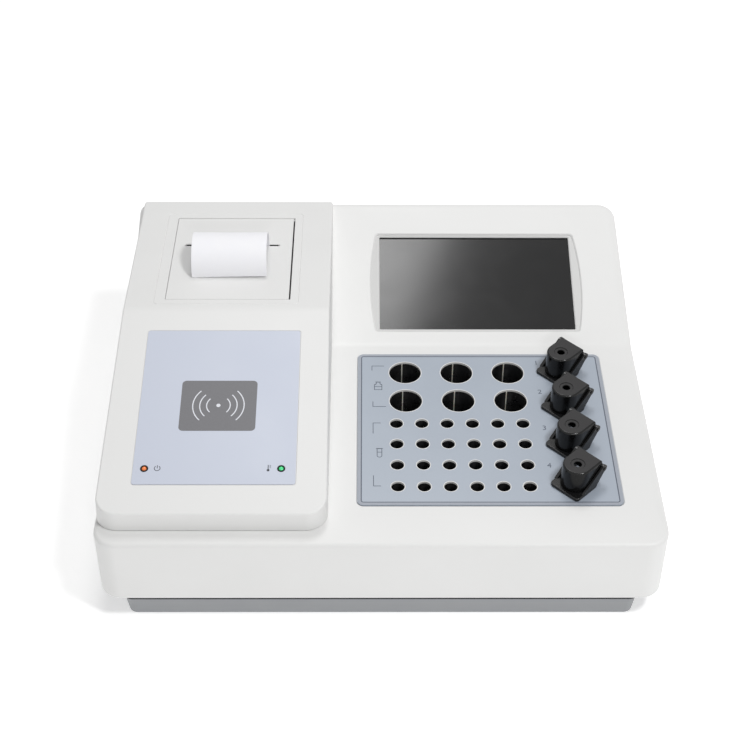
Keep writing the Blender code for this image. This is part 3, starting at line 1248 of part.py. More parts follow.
def make_incubator():
    make_bars("reagent", REAGENT_WELLS, REAGENT_RADIUS, LARGE_FACETS, REAGENT_DEPTH, REAGENT_BAR_LENGTH)
    make_bars("sample", SAMPLE_WELLS, SAMPLE_RADIUS, SAMPLE_FACETS, SAMPLE_DEPTH, SAMPLE_BAR_LENGTH)
    left = WELLS_SHIFT_X - BAR_WIDTH / 2
    mat = ((left, BARS_FRONT, HEATER_TOP - HEATER_THICKNESS), (left + BAR_WIDTH, BARS_REAR, HEATER_TOP))
    finish(place("heater_mat", box_mesh("heater_mat", mat), PANEL), "silicone")
    plate = ((WELLS_SHIFT_X - CARRIER_HALF_WIDTH, BARS_MIDDLE - CARRIER_HALF_LENGTH, CARRIER_BOTTOM),
             (WELLS_SHIFT_X + CARRIER_HALF_WIDTH, BARS_MIDDLE + CARRIER_HALF_LENGTH, CARRIER_TOP))
    carrier = place("bar_carrier", box_mesh("bar_carrier", plate), PANEL)
    reach = CARRIER_POST_Y + POST_RADIUS
    ears = [((WELLS_SHIFT_X + x - CARRIER_EAR / 2, BARS_MIDDLE - reach, CARRIER_BOTTOM),
             (WELLS_SHIFT_X + x + CARRIER_EAR / 2, BARS_MIDDLE + reach, CARRIER_TOP))
            for x in (-CARRIER_POST_X, CARRIER_POST_X)]
    join(carrier, box_mesh("ears", *ears), PANEL)
    cut(carrier, rod_mesh("peg_holes", CARRIER_POSTS, PEG_HOLE_RADIUS, CARRIER_BOTTOM - OVERRUN,
                          CARRIER_TOP + OVERRUN, SMALL_FACETS), PANEL)
    finish(carrier, "aluminium")


# Measuring channels
def cap_outline(inset):
    """Plan of a light cap: a half round at the front, square at the hinge end."""
    radius = CAP_RADIUS - inset
    end = CAP_END - inset
    turns = [pi / 2 + pi * step / CAP_FACETS for step in range(CAP_FACETS + 1)]
    return [(radius * cos(turn), radius * sin(turn)) for turn in turns] + [(end, -radius), (end, radius)]


def channel_frame(number, where):
    """Frame on the panel at a channel's middle, with X towards the hinge."""
    x, y = where
    return frame_at(f"channel_frame_{number}", (x, y, PANEL_TOP), turn=CHANNEL_TURN, parent=PANEL)


def make_channel_base(number, channel):
    name = f"channel_base_{number}"
    plate = rectangle(-PLATE_FRONT, -PLATE_HALF_WIDTH, PLATE_REAR, PLATE_HALF_WIDTH)
    base = place(name, plate_mesh(name, [rounded(plate, PLATE_RADIUS)], GAP, PLATE_THICKNESS), channel)
    socket = rod_mesh("socket", [(0, 0, 0)], SOCKET_RADIUS, -SOCKET_DEPTH, PLATE_THICKNESS / 2)
    join(base, socket, channel)
    join(base, ear_mesh(), channel)
    cuvette = rod_mesh("cuvette_well", [(0, 0, 0)], CUVETTE_RADIUS, PLATE_THICKNESS - CUVETTE_DEPTH,
                       PLATE_THICKNESS + OVERRUN, SAMPLE_FACETS)
    cut(base, cuvette, channel)
    light = [(0, 0, -LIGHT_DEPTH)]
    reach = SOCKET_RADIUS + OVERRUN
    cut(base, rod_mesh("light_path", light, LIGHT_RADIUS, -reach, reach, SMALL_FACETS, ALONG_Y), channel)
    ear_reach = PLATE_HALF_WIDTH + OVERRUN
    hinge = [(HINGE_REACH, 0, HINGE_HEIGHT)]
    cut(base, rod_mesh("pin_bore", hinge, PIN_BORE_RADIUS, -ear_reach, ear_reach, SMALL_FACETS, ALONG_Y),
        channel)
    return finish(base, "black_plastic")


def ear_mesh():
    """Two ears that rise beside the cap to the hinge pin."""
    low = PLATE_THICKNESS / 2
    radius = EAR_BOSS_RADIUS
    turns = [EAR_ARC_START + EAR_ARC_SWEEP * step / BEND_FACETS for step in range(BEND_FACETS + 1)]
    boss = [(HINGE_REACH + radius * cos(turn), HINGE_HEIGHT + radius * sin(turn)) for turn in turns]
    outline = [(-EAR_FRONT, low), (-EAR_FRONT, PLATE_THICKNESS)] + boss
    outline += [(PLATE_REAR - PLATE_RADIUS / 2, PLATE_THICKNESS), (PLATE_REAR - PLATE_RADIUS / 2, low)]
    stand = Matrix.Rotation(pi / 2, 4, "X")
    work = bmesh.new()
    inner = PLATE_HALF_WIDTH - EAR_THICKNESS
    for low_side, high_side in ((inner, PLATE_HALF_WIDTH), (-PLATE_HALF_WIDTH, -inner)):
        ear = plate_mesh("ear", [outline], low_side, high_side, stand)
        work.from_mesh(ear)
        bpy.data.meshes.remove(ear)
    return mesh_from(work, "ears")


def make_channel_cap(number, channel):
    """Hollow light cap on its hinge, with a pipetting hole over the cuvette."""
    name = f"channel_cap_{number}"
    hinge = frame_at(f"cap_hinge_{number}", (HINGE_REACH, 0, HINGE_HEIGHT), parent=channel)
    shift = Matrix.Translation((-HINGE_REACH, 0, -HINGE_HEIGHT))

    def hinged(mesh):
        mesh.transform(shift)
        return mesh

    outer = tapered_mesh(name, cap_outline(-CAP_DRAFT), cap_outline(0), CAP_BOTTOM, CAP_TOP_HEIGHT)
    cap = place(name, hinged(outer), hinge)
    round_edges(cap, CAP_EDGE_ROUND)
    top_inside = CAP_TOP_HEIGHT - CAP_TOP_THICKNESS
    inner = tapered_mesh("hollow", cap_outline(CAP_WALL - CAP_DRAFT), cap_outline(CAP_WALL),
                         CAP_BOTTOM - OVERRUN, top_inside)
    cut(cap, hinged(inner), hinge)
    half = PLATE_HALF_WIDTH - EAR_THICKNESS - GAP
    barrel = [(0, 0, 0)]
    join(cap, rod_mesh("knuckle", barrel, KNUCKLE_RADIUS, -half, half, SMALL_FACETS, ALONG_Y), hinge)
    reach = half + OVERRUN
    cut(cap, rod_mesh("pin_bore", barrel, PIN_BORE_RADIUS, -reach, reach, SMALL_FACETS, ALONG_Y), hinge)
    cut(cap, hinged(rod_mesh("pipette_hole", [(0, 0, 0)], CAP_HOLE_RADIUS, top_inside - OVERRUN / 2,
                             CAP_TOP_HEIGHT + OVERRUN, SAMPLE_FACETS)), hinge)
    return finish(cap, "black_plastic")


def make_cap_pin(number, channel):
    name = f"cap_pin_{number}"
    half = PLATE_HALF_WIDTH + CAP_PIN_REACH
    mesh = rod_mesh(name, [(0, 0, 0)], CAP_PIN_RADIUS, -half, half, SMALL_FACETS, ALONG_Y)
    return finish(place(name, mesh, channel, (HINGE_REACH, 0, HINGE_HEIGHT)), "steel")


def make_channels():
    for number, where in enumerate(CHANNELS, 1):
        channel = channel_frame(number, where)
        make_channel_base(number, channel)
        make_channel_cap(number, channel)
        make_cap_pin(number, channel)


def make_optics_board():
    """Board under the sockets: on each side of a socket a prong looks through the side hole."""
    half_x = OPTICS_BOARD_WIDTH / 2
    half_y = OPTICS_POST_Y + OPTICS_BOARD_OVERHANG / 2
    low = OPTICS_TOP - BOARD_THICKNESS
    outline = rectangle(CHANNEL_SHIFT_X - half_x, -half_y, CHANNEL_SHIFT_X + half_x, half_y)
    holes = [circle(x, y, PEG_HOLE_RADIUS, SMALL_FACETS) for x, y, _ in OPTICS_POSTS]
    board = place("optics_board", plate_mesh("optics_board", [outline] + holes, low, OPTICS_TOP), PANEL)
    inner = SOCKET_RADIUS + GAP
    outer = inner + OPTICS_PRONG
    half_prong = OPTICS_PRONG_WIDTH / 2
    root = low + BOARD_THICKNESS / 2
    top = OPTICS_PRONG_RISE - LIGHT_DEPTH
    for number, (x, y) in enumerate(CHANNELS, 1):
        near = ((-half_prong, -outer, root), (half_prong, -inner, top))
        far = ((-half_prong, inner, root), (half_prong, outer, top))
        pair = box_mesh(f"prongs_{number}", near, far)
        pair.transform(Matrix.Rotation(CHANNEL_TURN, 4, "Z"))
        join(board, pair, PANEL, (x, y, 0))
    return finish(board, "board")


# Electronics in the base pan
def make_main_board():
    half_x = MAIN_BOARD_WIDTH / 2
    half_y = MAIN_BOARD_LENGTH / 2
    outline = rectangle(-half_x, -half_y, half_x, half_y)
    holes = [circle(x - MAIN_BOARD_X, y - MAIN_BOARD_Y, PEG_HOLE_RADIUS, SMALL_FACETS)
             for x, y, _ in BOARD_POSTS]
    top = BOARD_BOTTOM + BOARD_THICKNESS
    middle = (MAIN_BOARD_X, MAIN_BOARD_Y, 0)
    mesh = plate_mesh("main_board", [outline] + holes, BOARD_BOTTOM, top)
    board = place("main_board", mesh, location=middle)
    unit = MAIN_BOARD_LENGTH / 10
    root = top - BOARD_THICKNESS / 2
    chips = [((x - unit, y - unit, root), (x + unit, y + unit, top + BOARD_THICKNESS))
             for x, y in ((0, 0), (4 * unit, unit), (-3 * unit, -2 * unit))]
    connector = ((-4 * unit, 3 * unit, root), (2 * unit, 4 * unit, top + 3 * BOARD_THICKNESS))
    join(board, box_mesh("components", *chips, connector), location=middle)
    return finish(board, "board")


def make_power_supply():
    """Open power supply: a board with a transformer, a heat sink, a filter and two capacitors."""
    half_x = SUPPLY_WIDTH / 2
    half_y = SUPPLY_LENGTH / 2
    outline = rectangle(-half_x, -half_y, half_x, half_y)
    holes = [circle(x - SUPPLY_X, y - SUPPLY_Y, PEG_HOLE_RADIUS, SMALL_FACETS) for x, y, _ in SUPPLY_POSTS]
    middle = (SUPPLY_X, SUPPLY_Y, BOARD_BOTTOM)
    supply = place("power_supply", plate_mesh("power_supply", [outline] + holes, 0, BOARD_THICKNESS),
                   location=middle)
    unit = SUPPLY_LENGTH / 8
    low = BOARD_THICKNESS / 2
    transformer = ((-unit, -unit, low), (2 * unit, 2 * unit, SUPPLY_HEIGHT * 3 / 4))
    heat_sink = ((-2 * unit, -2 * unit, low), (-2 * unit + BOARD_THICKNESS, 2 * unit, SUPPLY_HEIGHT))
    line_filter = ((3 * unit, -2 * unit, low), (5 * unit, 2 * unit, SUPPLY_HEIGHT / 2))
    join(supply, box_mesh("blocks", transformer, heat_sink, line_filter), location=middle)
    capacitors = [(-4 * unit, side * 3 * unit / 2, 0) for side in (-1, 1)]
    tall = rod_mesh("capacitors", capacitors, unit, low, SUPPLY_HEIGHT * 3 / 4, FACETS)
    join(supply, tall, location=middle)
    return finish(supply, "board")


# Rear connectors
def make_rear_plate():
    """Folded plate behind the rear opening, its foot on the base pan's flange."""
    half = REAR_PLATE_WIDTH / 2
    outer = REAR_PLATE_OUTER
    low = REAR_PLATE_BOTTOM
    sheet = REAR_PLATE_SHEET
    high = low + REAR_PLATE_HEIGHT
    toe = outer - REAR_PLATE_FOOT
    outline = [(outer, low), (outer, high), (outer - sheet, high), (outer - sheet, low + sheet),
               (toe, low + sheet), (toe, low)]
    mesh = plate_mesh("rear_plate", [outline], -half, half, SIDEWAYS)
    plate = place("rear_plate", mesh, location=(REAR_PLATE_X, 0, 0))
    windows = []
    for shift, width, height in ((INLET_SHIFT, INLET_WIDTH, INLET_HEIGHT),
                                 (SWITCH_SHIFT, SWITCH_WIDTH, SWITCH_HEIGHT)):
        x = REAR_PLATE_X + shift
        windows.append(((x - width / 2 - GAP, outer - OVERRUN / 2, CONNECTOR_Z - height / 2 - GAP),
                        (x + width / 2 + GAP, outer + OVERRUN / 2, CONNECTOR_Z + height / 2 + GAP)))
    cut(plate, box_mesh("windows", *windows))
    cut(plate, rod_mesh("peg_holes", REAR_PLATE_PEGS, PEG_HOLE_RADIUS, outer - OVERRUN / 2,
                        outer + OVERRUN / 2, SMALL_FACETS, ALONG_Y))
    return finish(plate, "steel")


def socket_shell(name, shift, width, height, length, wall, depth):
    """Connector body through the rear plate, with a flange outside and an open socket."""
    x = REAR_PLATE_X + shift
    seat = REAR_PLATE_OUTER + GAP
    body = ((-width / 2, seat - length, -height / 2), (width / 2, seat + FLANGE_THICKNESS, height / 2))
    flange = ((-width / 2 - FLANGE_MARGIN, seat, -height / 2 - FLANGE_MARGIN),
              (width / 2 + FLANGE_MARGIN, seat + FLANGE_THICKNESS, height / 2 + FLANGE_MARGIN))
    middle = (x, 0, CONNECTOR_Z)
    shell = place(name, box_mesh(name, body), location=middle)
    join(shell, box_mesh("flange", flange), location=middle)
    hollow = ((-width / 2 + wall, seat - depth, -height / 2 + wall),
              (width / 2 - wall, seat + OVERRUN, height / 2 - wall))
    cut(shell, box_mesh("socket", hollow), location=middle)
    return shell, middle, seat


def make_power_inlet():
    depth = INLET_LENGTH * 3 / 4
    inlet, middle, seat = socket_shell("power_inlet", INLET_SHIFT, INLET_WIDTH, INLET_HEIGHT, INLET_LENGTH,
                                       INLET_WALL, depth)
    blades = []
    for step, lift in ((-1, -1), (0, 1), (1, -1)):
        x = step * INLET_BLADE_PITCH
        z = lift * INLET_BLADE_WIDTH / 2
        blades.append(((x - INLET_BLADE_THICKNESS / 2, seat - depth - OVERLAP, z - INLET_BLADE_WIDTH / 2),
                       (x + INLET_BLADE_THICKNESS / 2, seat - OVERLAP, z + INLET_BLADE_WIDTH / 2)))
    join(inlet, box_mesh("blades", *blades), location=middle)
    return finish(inlet, "black_plastic")


def make_power_switch():
    frame, middle, seat = socket_shell("switch_frame", SWITCH_SHIFT, SWITCH_WIDTH, SWITCH_HEIGHT,
                                       SWITCH_LENGTH, SWITCH_WALL, SWITCH_LENGTH * 2 / 3)
    reach = SWITCH_WIDTH / 2 + OVERRUN
    pivot = (0, seat - SWITCH_WALL, 0)
    pivot_holes = rod_mesh("pivot_holes", [pivot], ROCKER_PIVOT_RADIUS + GAP, -reach, reach, SMALL_FACETS,
                           ALONG_X)
    cut(frame, pivot_holes, location=middle)
    finish(frame, "black_plastic")
    axis = frame_at("rocker_axis", (middle[0], pivot[1], CONNECTOR_Z))
    half_height = ROCKER_HEIGHT / 2
    half_depth = ROCKER_DEPTH / 2
    outline = [(half_depth, half_height), (half_depth * 2 / 3, 0), (half_depth, -half_height),
               (-half_depth, -half_height / 2), (-half_depth, half_height / 2)]
    half_width = SWITCH_WIDTH / 2 - SWITCH_WALL - GAP
    mesh = plate_mesh("switch_rocker", [outline], -half_width, half_width, SIDEWAYS)
    mesh.transform(Matrix.Rotation(-ROCKER_TILT, 4, "X"))
    rocker = place("switch_rocker", mesh, axis)
    reach = SWITCH_WIDTH / 2 - GAP
    pivots = rod_mesh("pivots", [(0, 0, 0)], ROCKER_PIVOT_RADIUS, -reach, reach, SMALL_FACETS, ALONG_X)
    join(rocker, pivots, axis)
    return finish(rocker, "black_plastic")


make_main_housing()
make_base_pan()
make_feet()
make_case_screws()
make_left_cover()
make_card_label()
make_lamp("power_lamp", -1, "amber")
make_lamp("heat_lamp", 1, "green")
make_reader_board()
make_printer_lid()
make_printer_bay()
make_roll()
make_paper()
make_gears()
make_mechanism_frame()
make_platen()
make_print_head()
make_feed_motor()
make_display()
make_well_panel()
make_incubator()
make_channels()
make_optics_board()
make_main_board()
make_power_supply()
make_rear_plate()
make_power_inlet()
make_power_switch()
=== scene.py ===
import json
from math import atan2, cos, hypot, pi, radians, sin, tan

import bmesh
import bpy
from mathutils import Matrix, Vector


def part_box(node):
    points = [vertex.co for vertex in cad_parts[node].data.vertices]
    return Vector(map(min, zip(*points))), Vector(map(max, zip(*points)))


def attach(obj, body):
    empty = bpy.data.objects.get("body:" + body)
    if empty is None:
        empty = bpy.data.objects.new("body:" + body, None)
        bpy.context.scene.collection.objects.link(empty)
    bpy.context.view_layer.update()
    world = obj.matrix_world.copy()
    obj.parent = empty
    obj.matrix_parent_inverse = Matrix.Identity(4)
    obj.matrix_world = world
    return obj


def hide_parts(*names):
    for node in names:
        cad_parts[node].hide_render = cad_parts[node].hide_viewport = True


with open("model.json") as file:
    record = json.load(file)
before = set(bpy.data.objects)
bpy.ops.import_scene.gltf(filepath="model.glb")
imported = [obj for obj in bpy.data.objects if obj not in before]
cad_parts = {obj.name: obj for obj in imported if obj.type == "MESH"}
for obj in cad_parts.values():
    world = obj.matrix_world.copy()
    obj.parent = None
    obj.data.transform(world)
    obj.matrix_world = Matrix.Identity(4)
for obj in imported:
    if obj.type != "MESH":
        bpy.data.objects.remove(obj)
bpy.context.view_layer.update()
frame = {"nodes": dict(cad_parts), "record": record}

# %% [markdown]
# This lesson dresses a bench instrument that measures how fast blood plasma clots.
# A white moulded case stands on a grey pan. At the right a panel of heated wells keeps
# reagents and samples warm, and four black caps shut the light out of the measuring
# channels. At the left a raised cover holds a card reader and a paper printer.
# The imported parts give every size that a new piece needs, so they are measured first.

NODES = frame["nodes"]
BODY_LOW, BODY_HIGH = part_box("main_housing")
COVER_LOW, COVER_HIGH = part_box("left_cover")
LID_LOW, LID_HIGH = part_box("printer_lid")
PAN_LOW, PAN_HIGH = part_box("base_pan")

# %% [markdown]
# The faces of the case slope, so each one gets a frame of its own: a matrix that puts
# a flat drawing on the deck, on the screen face or on the card slope. Drawing flat and
# moving the result is simpler than working out every corner in the room's axes.

# %% Frames of the sloping faces
DECK_EDGE_HEIGHT = 0.0737
DECK_LENGTH = 0.2090
DECK_SLOPE = radians(1.92)
SCREEN_SLOPE = radians(19.42)
CARD_SLOPE = radians(12.54)
CARD_EDGE_HEIGHT = 0.0893
PANEL_SHIFT = Vector((0.0761, 0.1168, 0))
DISPLAY_SHIFT = Vector((0.0773, 0.0597, 0))
CHANNEL_TURN = radians(45)

FOLD_Y = BODY_LOW.y + DECK_LENGTH
FOLD_HEIGHT = DECK_EDGE_HEIGHT + DECK_LENGTH * tan(DECK_SLOPE)
COVER_MIDDLE = (COVER_LOW.x + COVER_HIGH.x) / 2
COVER_TOP = COVER_HIGH.z
COVER_FOLD_Y = COVER_LOW.y + (COVER_TOP - CARD_EDGE_HEIGHT) / tan(CARD_SLOPE)


def sloping_frame(x, y, z, slope):
    """Matrix of a face that rises towards the rear."""
    return Matrix.Translation((x, y, z)) @ Matrix.Rotation(slope, 4, "X")


DECK = sloping_frame(0, BODY_LOW.y, DECK_EDGE_HEIGHT, DECK_SLOPE)
PANEL = DECK @ Matrix.Translation(PANEL_SHIFT)
SCREEN = sloping_frame(0, FOLD_Y, FOLD_HEIGHT, SCREEN_SLOPE)
DISPLAY = SCREEN @ Matrix.Translation(DISPLAY_SHIFT)
CARD = sloping_frame(COVER_MIDDLE, COVER_LOW.y, CARD_EDGE_HEIGHT, CARD_SLOPE)
print("deck folds at", round(FOLD_Y * 1000, 1), "mm, cover folds at", round(COVER_FOLD_Y * 1000, 1), "mm")

# %% [markdown]
# A colour picked from a screen is an sRGB hex value, but the renderer counts in linear
# light, so one function turns hex to linear. Another adds a shader node with its
# settings and its links in one line, which keeps each material readable. Patterns are
# written in millimetres: a noise texture of scale s repeats about s times per metre.

# %% Colour, node and material helpers


def linear(hex_colour):
    """Linear red, green, blue and alpha of an sRGB hex colour."""
    channels = [int(hex_colour[start:start + 2], 16) / 255 for start in (1, 3, 5)]
    straight = [value / 12.92 if value <= 0.04045 else ((value + 0.055) / 1.055) ** 2.4 for value in channels]
    return (*straight, 1.0)


def per_metre(millimetres):
    """Texture scale of a pattern whose features are this far apart."""
    return 1000 / millimetres


def add_node(tree, kind, settings=(), **inputs):
    """Add a node; each input is a value, or a socket to link. A double underscore stands for a space."""
    node = tree.nodes.new(kind)
    for name, value in dict(settings).items():
        setattr(node, name, value)
    for name, value in inputs.items():
        socket = node.inputs[int(name[1:])] if name[1:].isdigit() else node.inputs[name.replace("__", " ")]
        if isinstance(value, bpy.types.NodeSocket):
            tree.links.new(value, socket)
        else:
            socket.default_value = value
    return node


def new_material(name, colour, roughness, ior=1.5, metallic=0.0):
    """A material with its shader, and the object's own coordinates in metres."""
    material = bpy.data.materials.new(name)
    material.use_nodes = True
    tree = material.node_tree
    shader = tree.nodes["Principled BSDF"]
    shader.inputs["Base Color"].default_value = linear(colour)
    shader.inputs["Roughness"].default_value = roughness
    shader.inputs["IOR"].default_value = ior
    shader.inputs["Metallic"].default_value = metallic
    metres = tree.nodes.new("ShaderNodeTexCoord").outputs["Object"]
    return material, tree, shader, metres


def vary(tree, shader, metres, low_colour, high_colour, size_mm, low_rough, high_rough, detail=3.0):
    """Let colour and roughness drift between two values over patches of a real size."""
    patches = add_node(tree, "ShaderNodeTexNoise", Vector=metres, Scale=per_metre(size_mm), Detail=detail)
    tint = add_node(tree, "ShaderNodeMix", {"data_type": "RGBA"}, _0=patches.outputs["Fac"],
                    _6=linear(low_colour), _7=linear(high_colour))
    tree.links.new(tint.outputs[2], shader.inputs["Base Color"])
    rough = add_node(tree, "ShaderNodeMapRange", _0=patches.outputs["Fac"], _1=0.3, _2=0.7, _3=low_rough,
                     _4=high_rough)
    tree.links.new(rough.outputs[0], shader.inputs["Roughness"])
    return patches


def grain(tree, shader, height, depth_mm, strength):
    """Raise a height pattern by a real depth."""
    bump = add_node(tree, "ShaderNodeBump", Height=height, Distance=depth_mm / 1000, Strength=strength)
    tree.links.new(bump.outputs["Normal"], shader.inputs["Normal"])
    return bump


# %% [markdown]
# The case is injection-moulded ABS, whose mould was spark eroded: the grain is a fine
# frosting of pits that breaks every reflection into a soft glow. Real grain is about
# 0.1 mm, too fine to show here, so it is drawn at 0.9 mm and kept very shallow.

# %% White and grey moulded ABS


def moulded_white_abs():
    """Frosted white ABS: a soft sheen and almost no drift of colour."""
    material, tree, shader, metres = new_material("moulded_white_abs", "#E7E7E6", 0.46, ior=1.53)
    vary(tree, shader, metres, "#E3E3E2", "#E9E9E8", 60, 0.42, 0.52)
    pits = add_node(tree, "ShaderNodeTexNoise", Vector=metres, Scale=per_metre(0.9), Detail=2.0)
    grain(tree, shader, pits.outputs["Fac"], 0.05, 0.16)
    return material


def moulded_grey_abs():
    """Grey ABS of the inner tray, with the same frosting but glossier."""
    material, tree, shader, metres = new_material("moulded_grey_abs", "#9B9DA0", 0.42, ior=1.53)
    vary(tree, shader, metres, "#94969A", "#A2A4A6", 25, 0.36, 0.48)
    pits = add_node(tree, "ShaderNodeTexNoise", Vector=metres, Scale=per_metre(1.1), Detail=2.0)
    grain(tree, shader, pits.outputs["Fac"], 0.06, 0.25)
    return material


def moulded_black_abs():
    """Black ABS of the channels: dark satin tops with a clear highlight on every rounded edge."""
    material, tree, shader, metres = new_material("moulded_black_abs", "#111112", 0.28, ior=1.42)
    vary(tree, shader, metres, "#0F0F10", "#141415", 7, 0.22, 0.32)
    pits = add_node(tree, "ShaderNodeTexNoise", Vector=metres, Scale=per_metre(0.7), Detail=2.0)
    grain(tree, shader, pits.outputs["Fac"], 0.04, 0.30)
    return material


def frosted_black_abs():
    """Black ABS of the caps: glossy sides and a rougher eroded top, whose lighter colour is a painted sheen of light
    from above.
    """
    material, tree, shader, metres = new_material("frosted_black_abs", "#0D0D0E", 0.2, ior=1.36)
    # Faces that look up get a lighter colour, a painted sheen on the caps' tops, and a rougher finish.
    facing = tree.nodes.new("ShaderNodeTexCoord").outputs["Normal"]
    up = add_node(tree, "ShaderNodeSeparateXYZ", Vector=facing)
    top = add_node(tree, "ShaderNodeMapRange", _0=up.outputs["Z"], _1=0.96, _2=0.99)
    tint = add_node(tree, "ShaderNodeMix", {"data_type": "RGBA"}, _0=top.outputs[0], _6=linear("#0C0C0D"),
                    _7=linear("#1F1E1F"))
    tree.links.new(tint.outputs[2], shader.inputs["Base Color"])
    rough = add_node(tree, "ShaderNodeMapRange", _0=top.outputs[0], _3=0.18, _4=0.45)
    tree.links.new(rough.outputs[0], shader.inputs["Roughness"])
    pits = add_node(tree, "ShaderNodeTexNoise", Vector=metres, Scale=per_metre(0.7), Detail=2.0)
    grain(tree, shader, pits.outputs["Fac"], 0.03, 0.25)
    return material


def eroded_white_abs():
    """White ABS made darker for the display's recess: painted shade of its sloping sides, on a rougher finish."""
    material, tree, shader, metres = new_material("eroded_white_abs", "#D3D3D2", 0.62, ior=1.5)
    vary(tree, shader, metres, "#D0D0CF", "#D6D6D5", 20, 0.56, 0.68)
    return material


WHITE_ABS = moulded_white_abs()
# Darker white for the display's recess: painted shade.
RECESS_SHADE_ABS = eroded_white_abs()
GREY_ABS = moulded_grey_abs()
BLACK_ABS = moulded_black_abs()
CAP_ABS = frosted_black_abs()
print("moulded plastics:", WHITE_ABS.name, GREY_ABS.name, BLACK_ABS.name, CAP_ABS.name)

# %% [markdown]
# The pan below is folded steel sheet with a baked powder coat. Powder melts into a skin
# with an orange peel of about 2 mm waves, so its reflections wobble. Rubber feet are
# matt and take up dust, which shows as a paler bloom.

# %% Powder coat and rubber


def powder_coated_steel():
    """Grey powder coat with orange peel."""
    material, tree, shader, metres = new_material("powder_coated_steel", "#9A9C9E", 0.5, ior=1.5)
    vary(tree, shader, metres, "#94969A", "#A0A2A4", 35, 0.45, 0.58)
    peel = add_node(tree, "ShaderNodeTexNoise", Vector=metres, Scale=per_metre(2.0), Detail=1.0)
    grain(tree, shader, peel.outputs["Fac"], 0.08, 0.3)
    return material


def dusty_rubber():
    """Matt black rubber with a pale bloom."""
    material, tree, shader, metres = new_material("dusty_rubber", "#232323", 0.85, ior=1.52)
    vary(tree, shader, metres, "#1C1C1C", "#303030", 5, 0.78, 0.92)
    pits = add_node(tree, "ShaderNodeTexNoise", Vector=metres, Scale=per_metre(0.8), Detail=3.0)
    grain(tree, shader, pits.outputs["Fac"], 0.06, 0.4)
    return material


POWDER_COAT = powder_coated_steel()
RUBBER = dusty_rubber()

# %% [markdown]
# The labels are polyester film, printed on the back and stuck in a shallow recess. The
# front keeps a fine velvet that scatters light evenly. The inks are screen printed:
# dense and a little rougher than the film around them.

# %% Printed film and inks


def velvet_film(name, low_colour, high_colour, roughness):
    """Velvet polyester film: even colour, soft sheen, a grain of about half a millimetre."""
    material, tree, shader, metres = new_material(name, low_colour, roughness, ior=1.57)
    vary(tree, shader, metres, low_colour, high_colour, 45, roughness - 0.04, roughness + 0.04)
    velvet = add_node(tree, "ShaderNodeTexNoise", Vector=metres, Scale=per_metre(0.6), Detail=2.0)
    grain(tree, shader, velvet.outputs["Fac"], 0.02, 0.18)
    return material


def screen_ink(name, colour, roughness):
    """Screen-printed ink with the faint mottle of the mesh."""
    material, tree, shader, metres = new_material(name, colour, roughness, ior=1.5)
    mottle = add_node(tree, "ShaderNodeTexNoise", Vector=metres, Scale=per_metre(1.5), Detail=2.0)
    darker = "#" + "".join(f"{int(int(colour[start:start + 2], 16) * 0.94):02X}" for start in (1, 3, 5))
    tint = add_node(tree, "ShaderNodeMix", {"data_type": "RGBA"}, _0=mottle.outputs["Fac"],
                    _6=linear(darker), _7=linear(colour))
    tree.links.new(tint.outputs[2], shader.inputs["Base Color"])
    grain(tree, shader, mottle.outputs["Fac"], 0.01, 0.2)
    return material


LABEL_FILM = velvet_film("velvet_film_pale_blue", "#C1C7D5", "#C7CDDC", 0.43)
PANEL_FILM = velvet_film("velvet_film_steel_blue", "#A0A9B5", "#A6AFBB", 0.33)
BORDER_INK = screen_ink("screen_ink_border", "#A2A8B2", 0.45)
DARK_INK = screen_ink("screen_ink_dark", "#525A68", 0.5)
PAD_INK = screen_ink("screen_ink_pad", "#727276", 0.5)
PALE_INK = screen_ink("screen_ink_pale", "#E9ECF2", 0.5)
BLACK_INK = screen_ink("screen_ink_black", "#3A3E48", 0.5)
print("films and inks ready")

# %% [markdown]
# Metals keep the default IOR, since their colour comes from the metallic base. The well
# bars are black anodised aluminium: milled, then dyed, so their round walls are smooth
# and show one narrow streak of light. Screws and shafts are zinc plated, the frame of
# the printer is rolled steel with a faint lengthwise brush, and the carrier is milled.

# %% Metals


def black_anodised_aluminium():
    """Dyed anodised bores: nearly black, and the boring marks draw each highlight out into an upright streak."""
    material, tree, shader, metres = new_material("black_anodised_aluminium", "#121214", 0.30, metallic=0.0)
    shader.inputs["Specular IOR Level"].default_value = 0.8
    shader.inputs["Anisotropic"].default_value = 0.9
    shader.inputs["Anisotropic Rotation"].default_value = 0.25
    vary(tree, shader, metres, "#0B0B0C", "#17171A", 6, 0.26, 0.34)
    facing = tree.nodes.new("ShaderNodeNewGeometry")
    around = add_node(tree, "ShaderNodeVectorMath", {"operation": "CROSS_PRODUCT"},
                      _0=facing.outputs["Normal"], _1=(0, 0, 1))
    tree.links.new(around.outputs[0], shader.inputs["Tangent"])
    return material


def zinc_plated_steel():
    """Zinc plate: bright, slightly blue, with cloudy patches."""
    material, tree, shader, metres = new_material("zinc_plated_steel", "#C6CACE", 0.3, metallic=1.0)
    vary(tree, shader, metres, "#B4B9C0", "#D2D5D8", 3, 0.22, 0.38)
    clouds = add_node(tree, "ShaderNodeTexNoise", Vector=metres, Scale=per_metre(1.2), Detail=3.0)
    grain(tree, shader, clouds.outputs["Fac"], 0.01, 0.2)
    return material


def brushed_sheet(name, colour, rough):
    """Sheet brushed lengthwise: noise stretched forty times along X."""
    material, tree, shader, metres = new_material(name, colour, rough, metallic=1.0)
    stretched = add_node(tree, "ShaderNodeMapping", Vector=metres, Scale=(0.025, 1, 1))
    brush = add_node(tree, "ShaderNodeTexNoise", Vector=stretched.outputs[0], Scale=per_metre(0.5), Detail=4.0)
    spread = add_node(tree, "ShaderNodeMapRange", _0=brush.outputs["Fac"], _1=0.3, _2=0.7, _3=rough - 0.08,
                      _4=rough + 0.1)
    tree.links.new(spread.outputs[0], shader.inputs["Roughness"])
    grain(tree, shader, brush.outputs["Fac"], 0.01, 0.3)
    return material


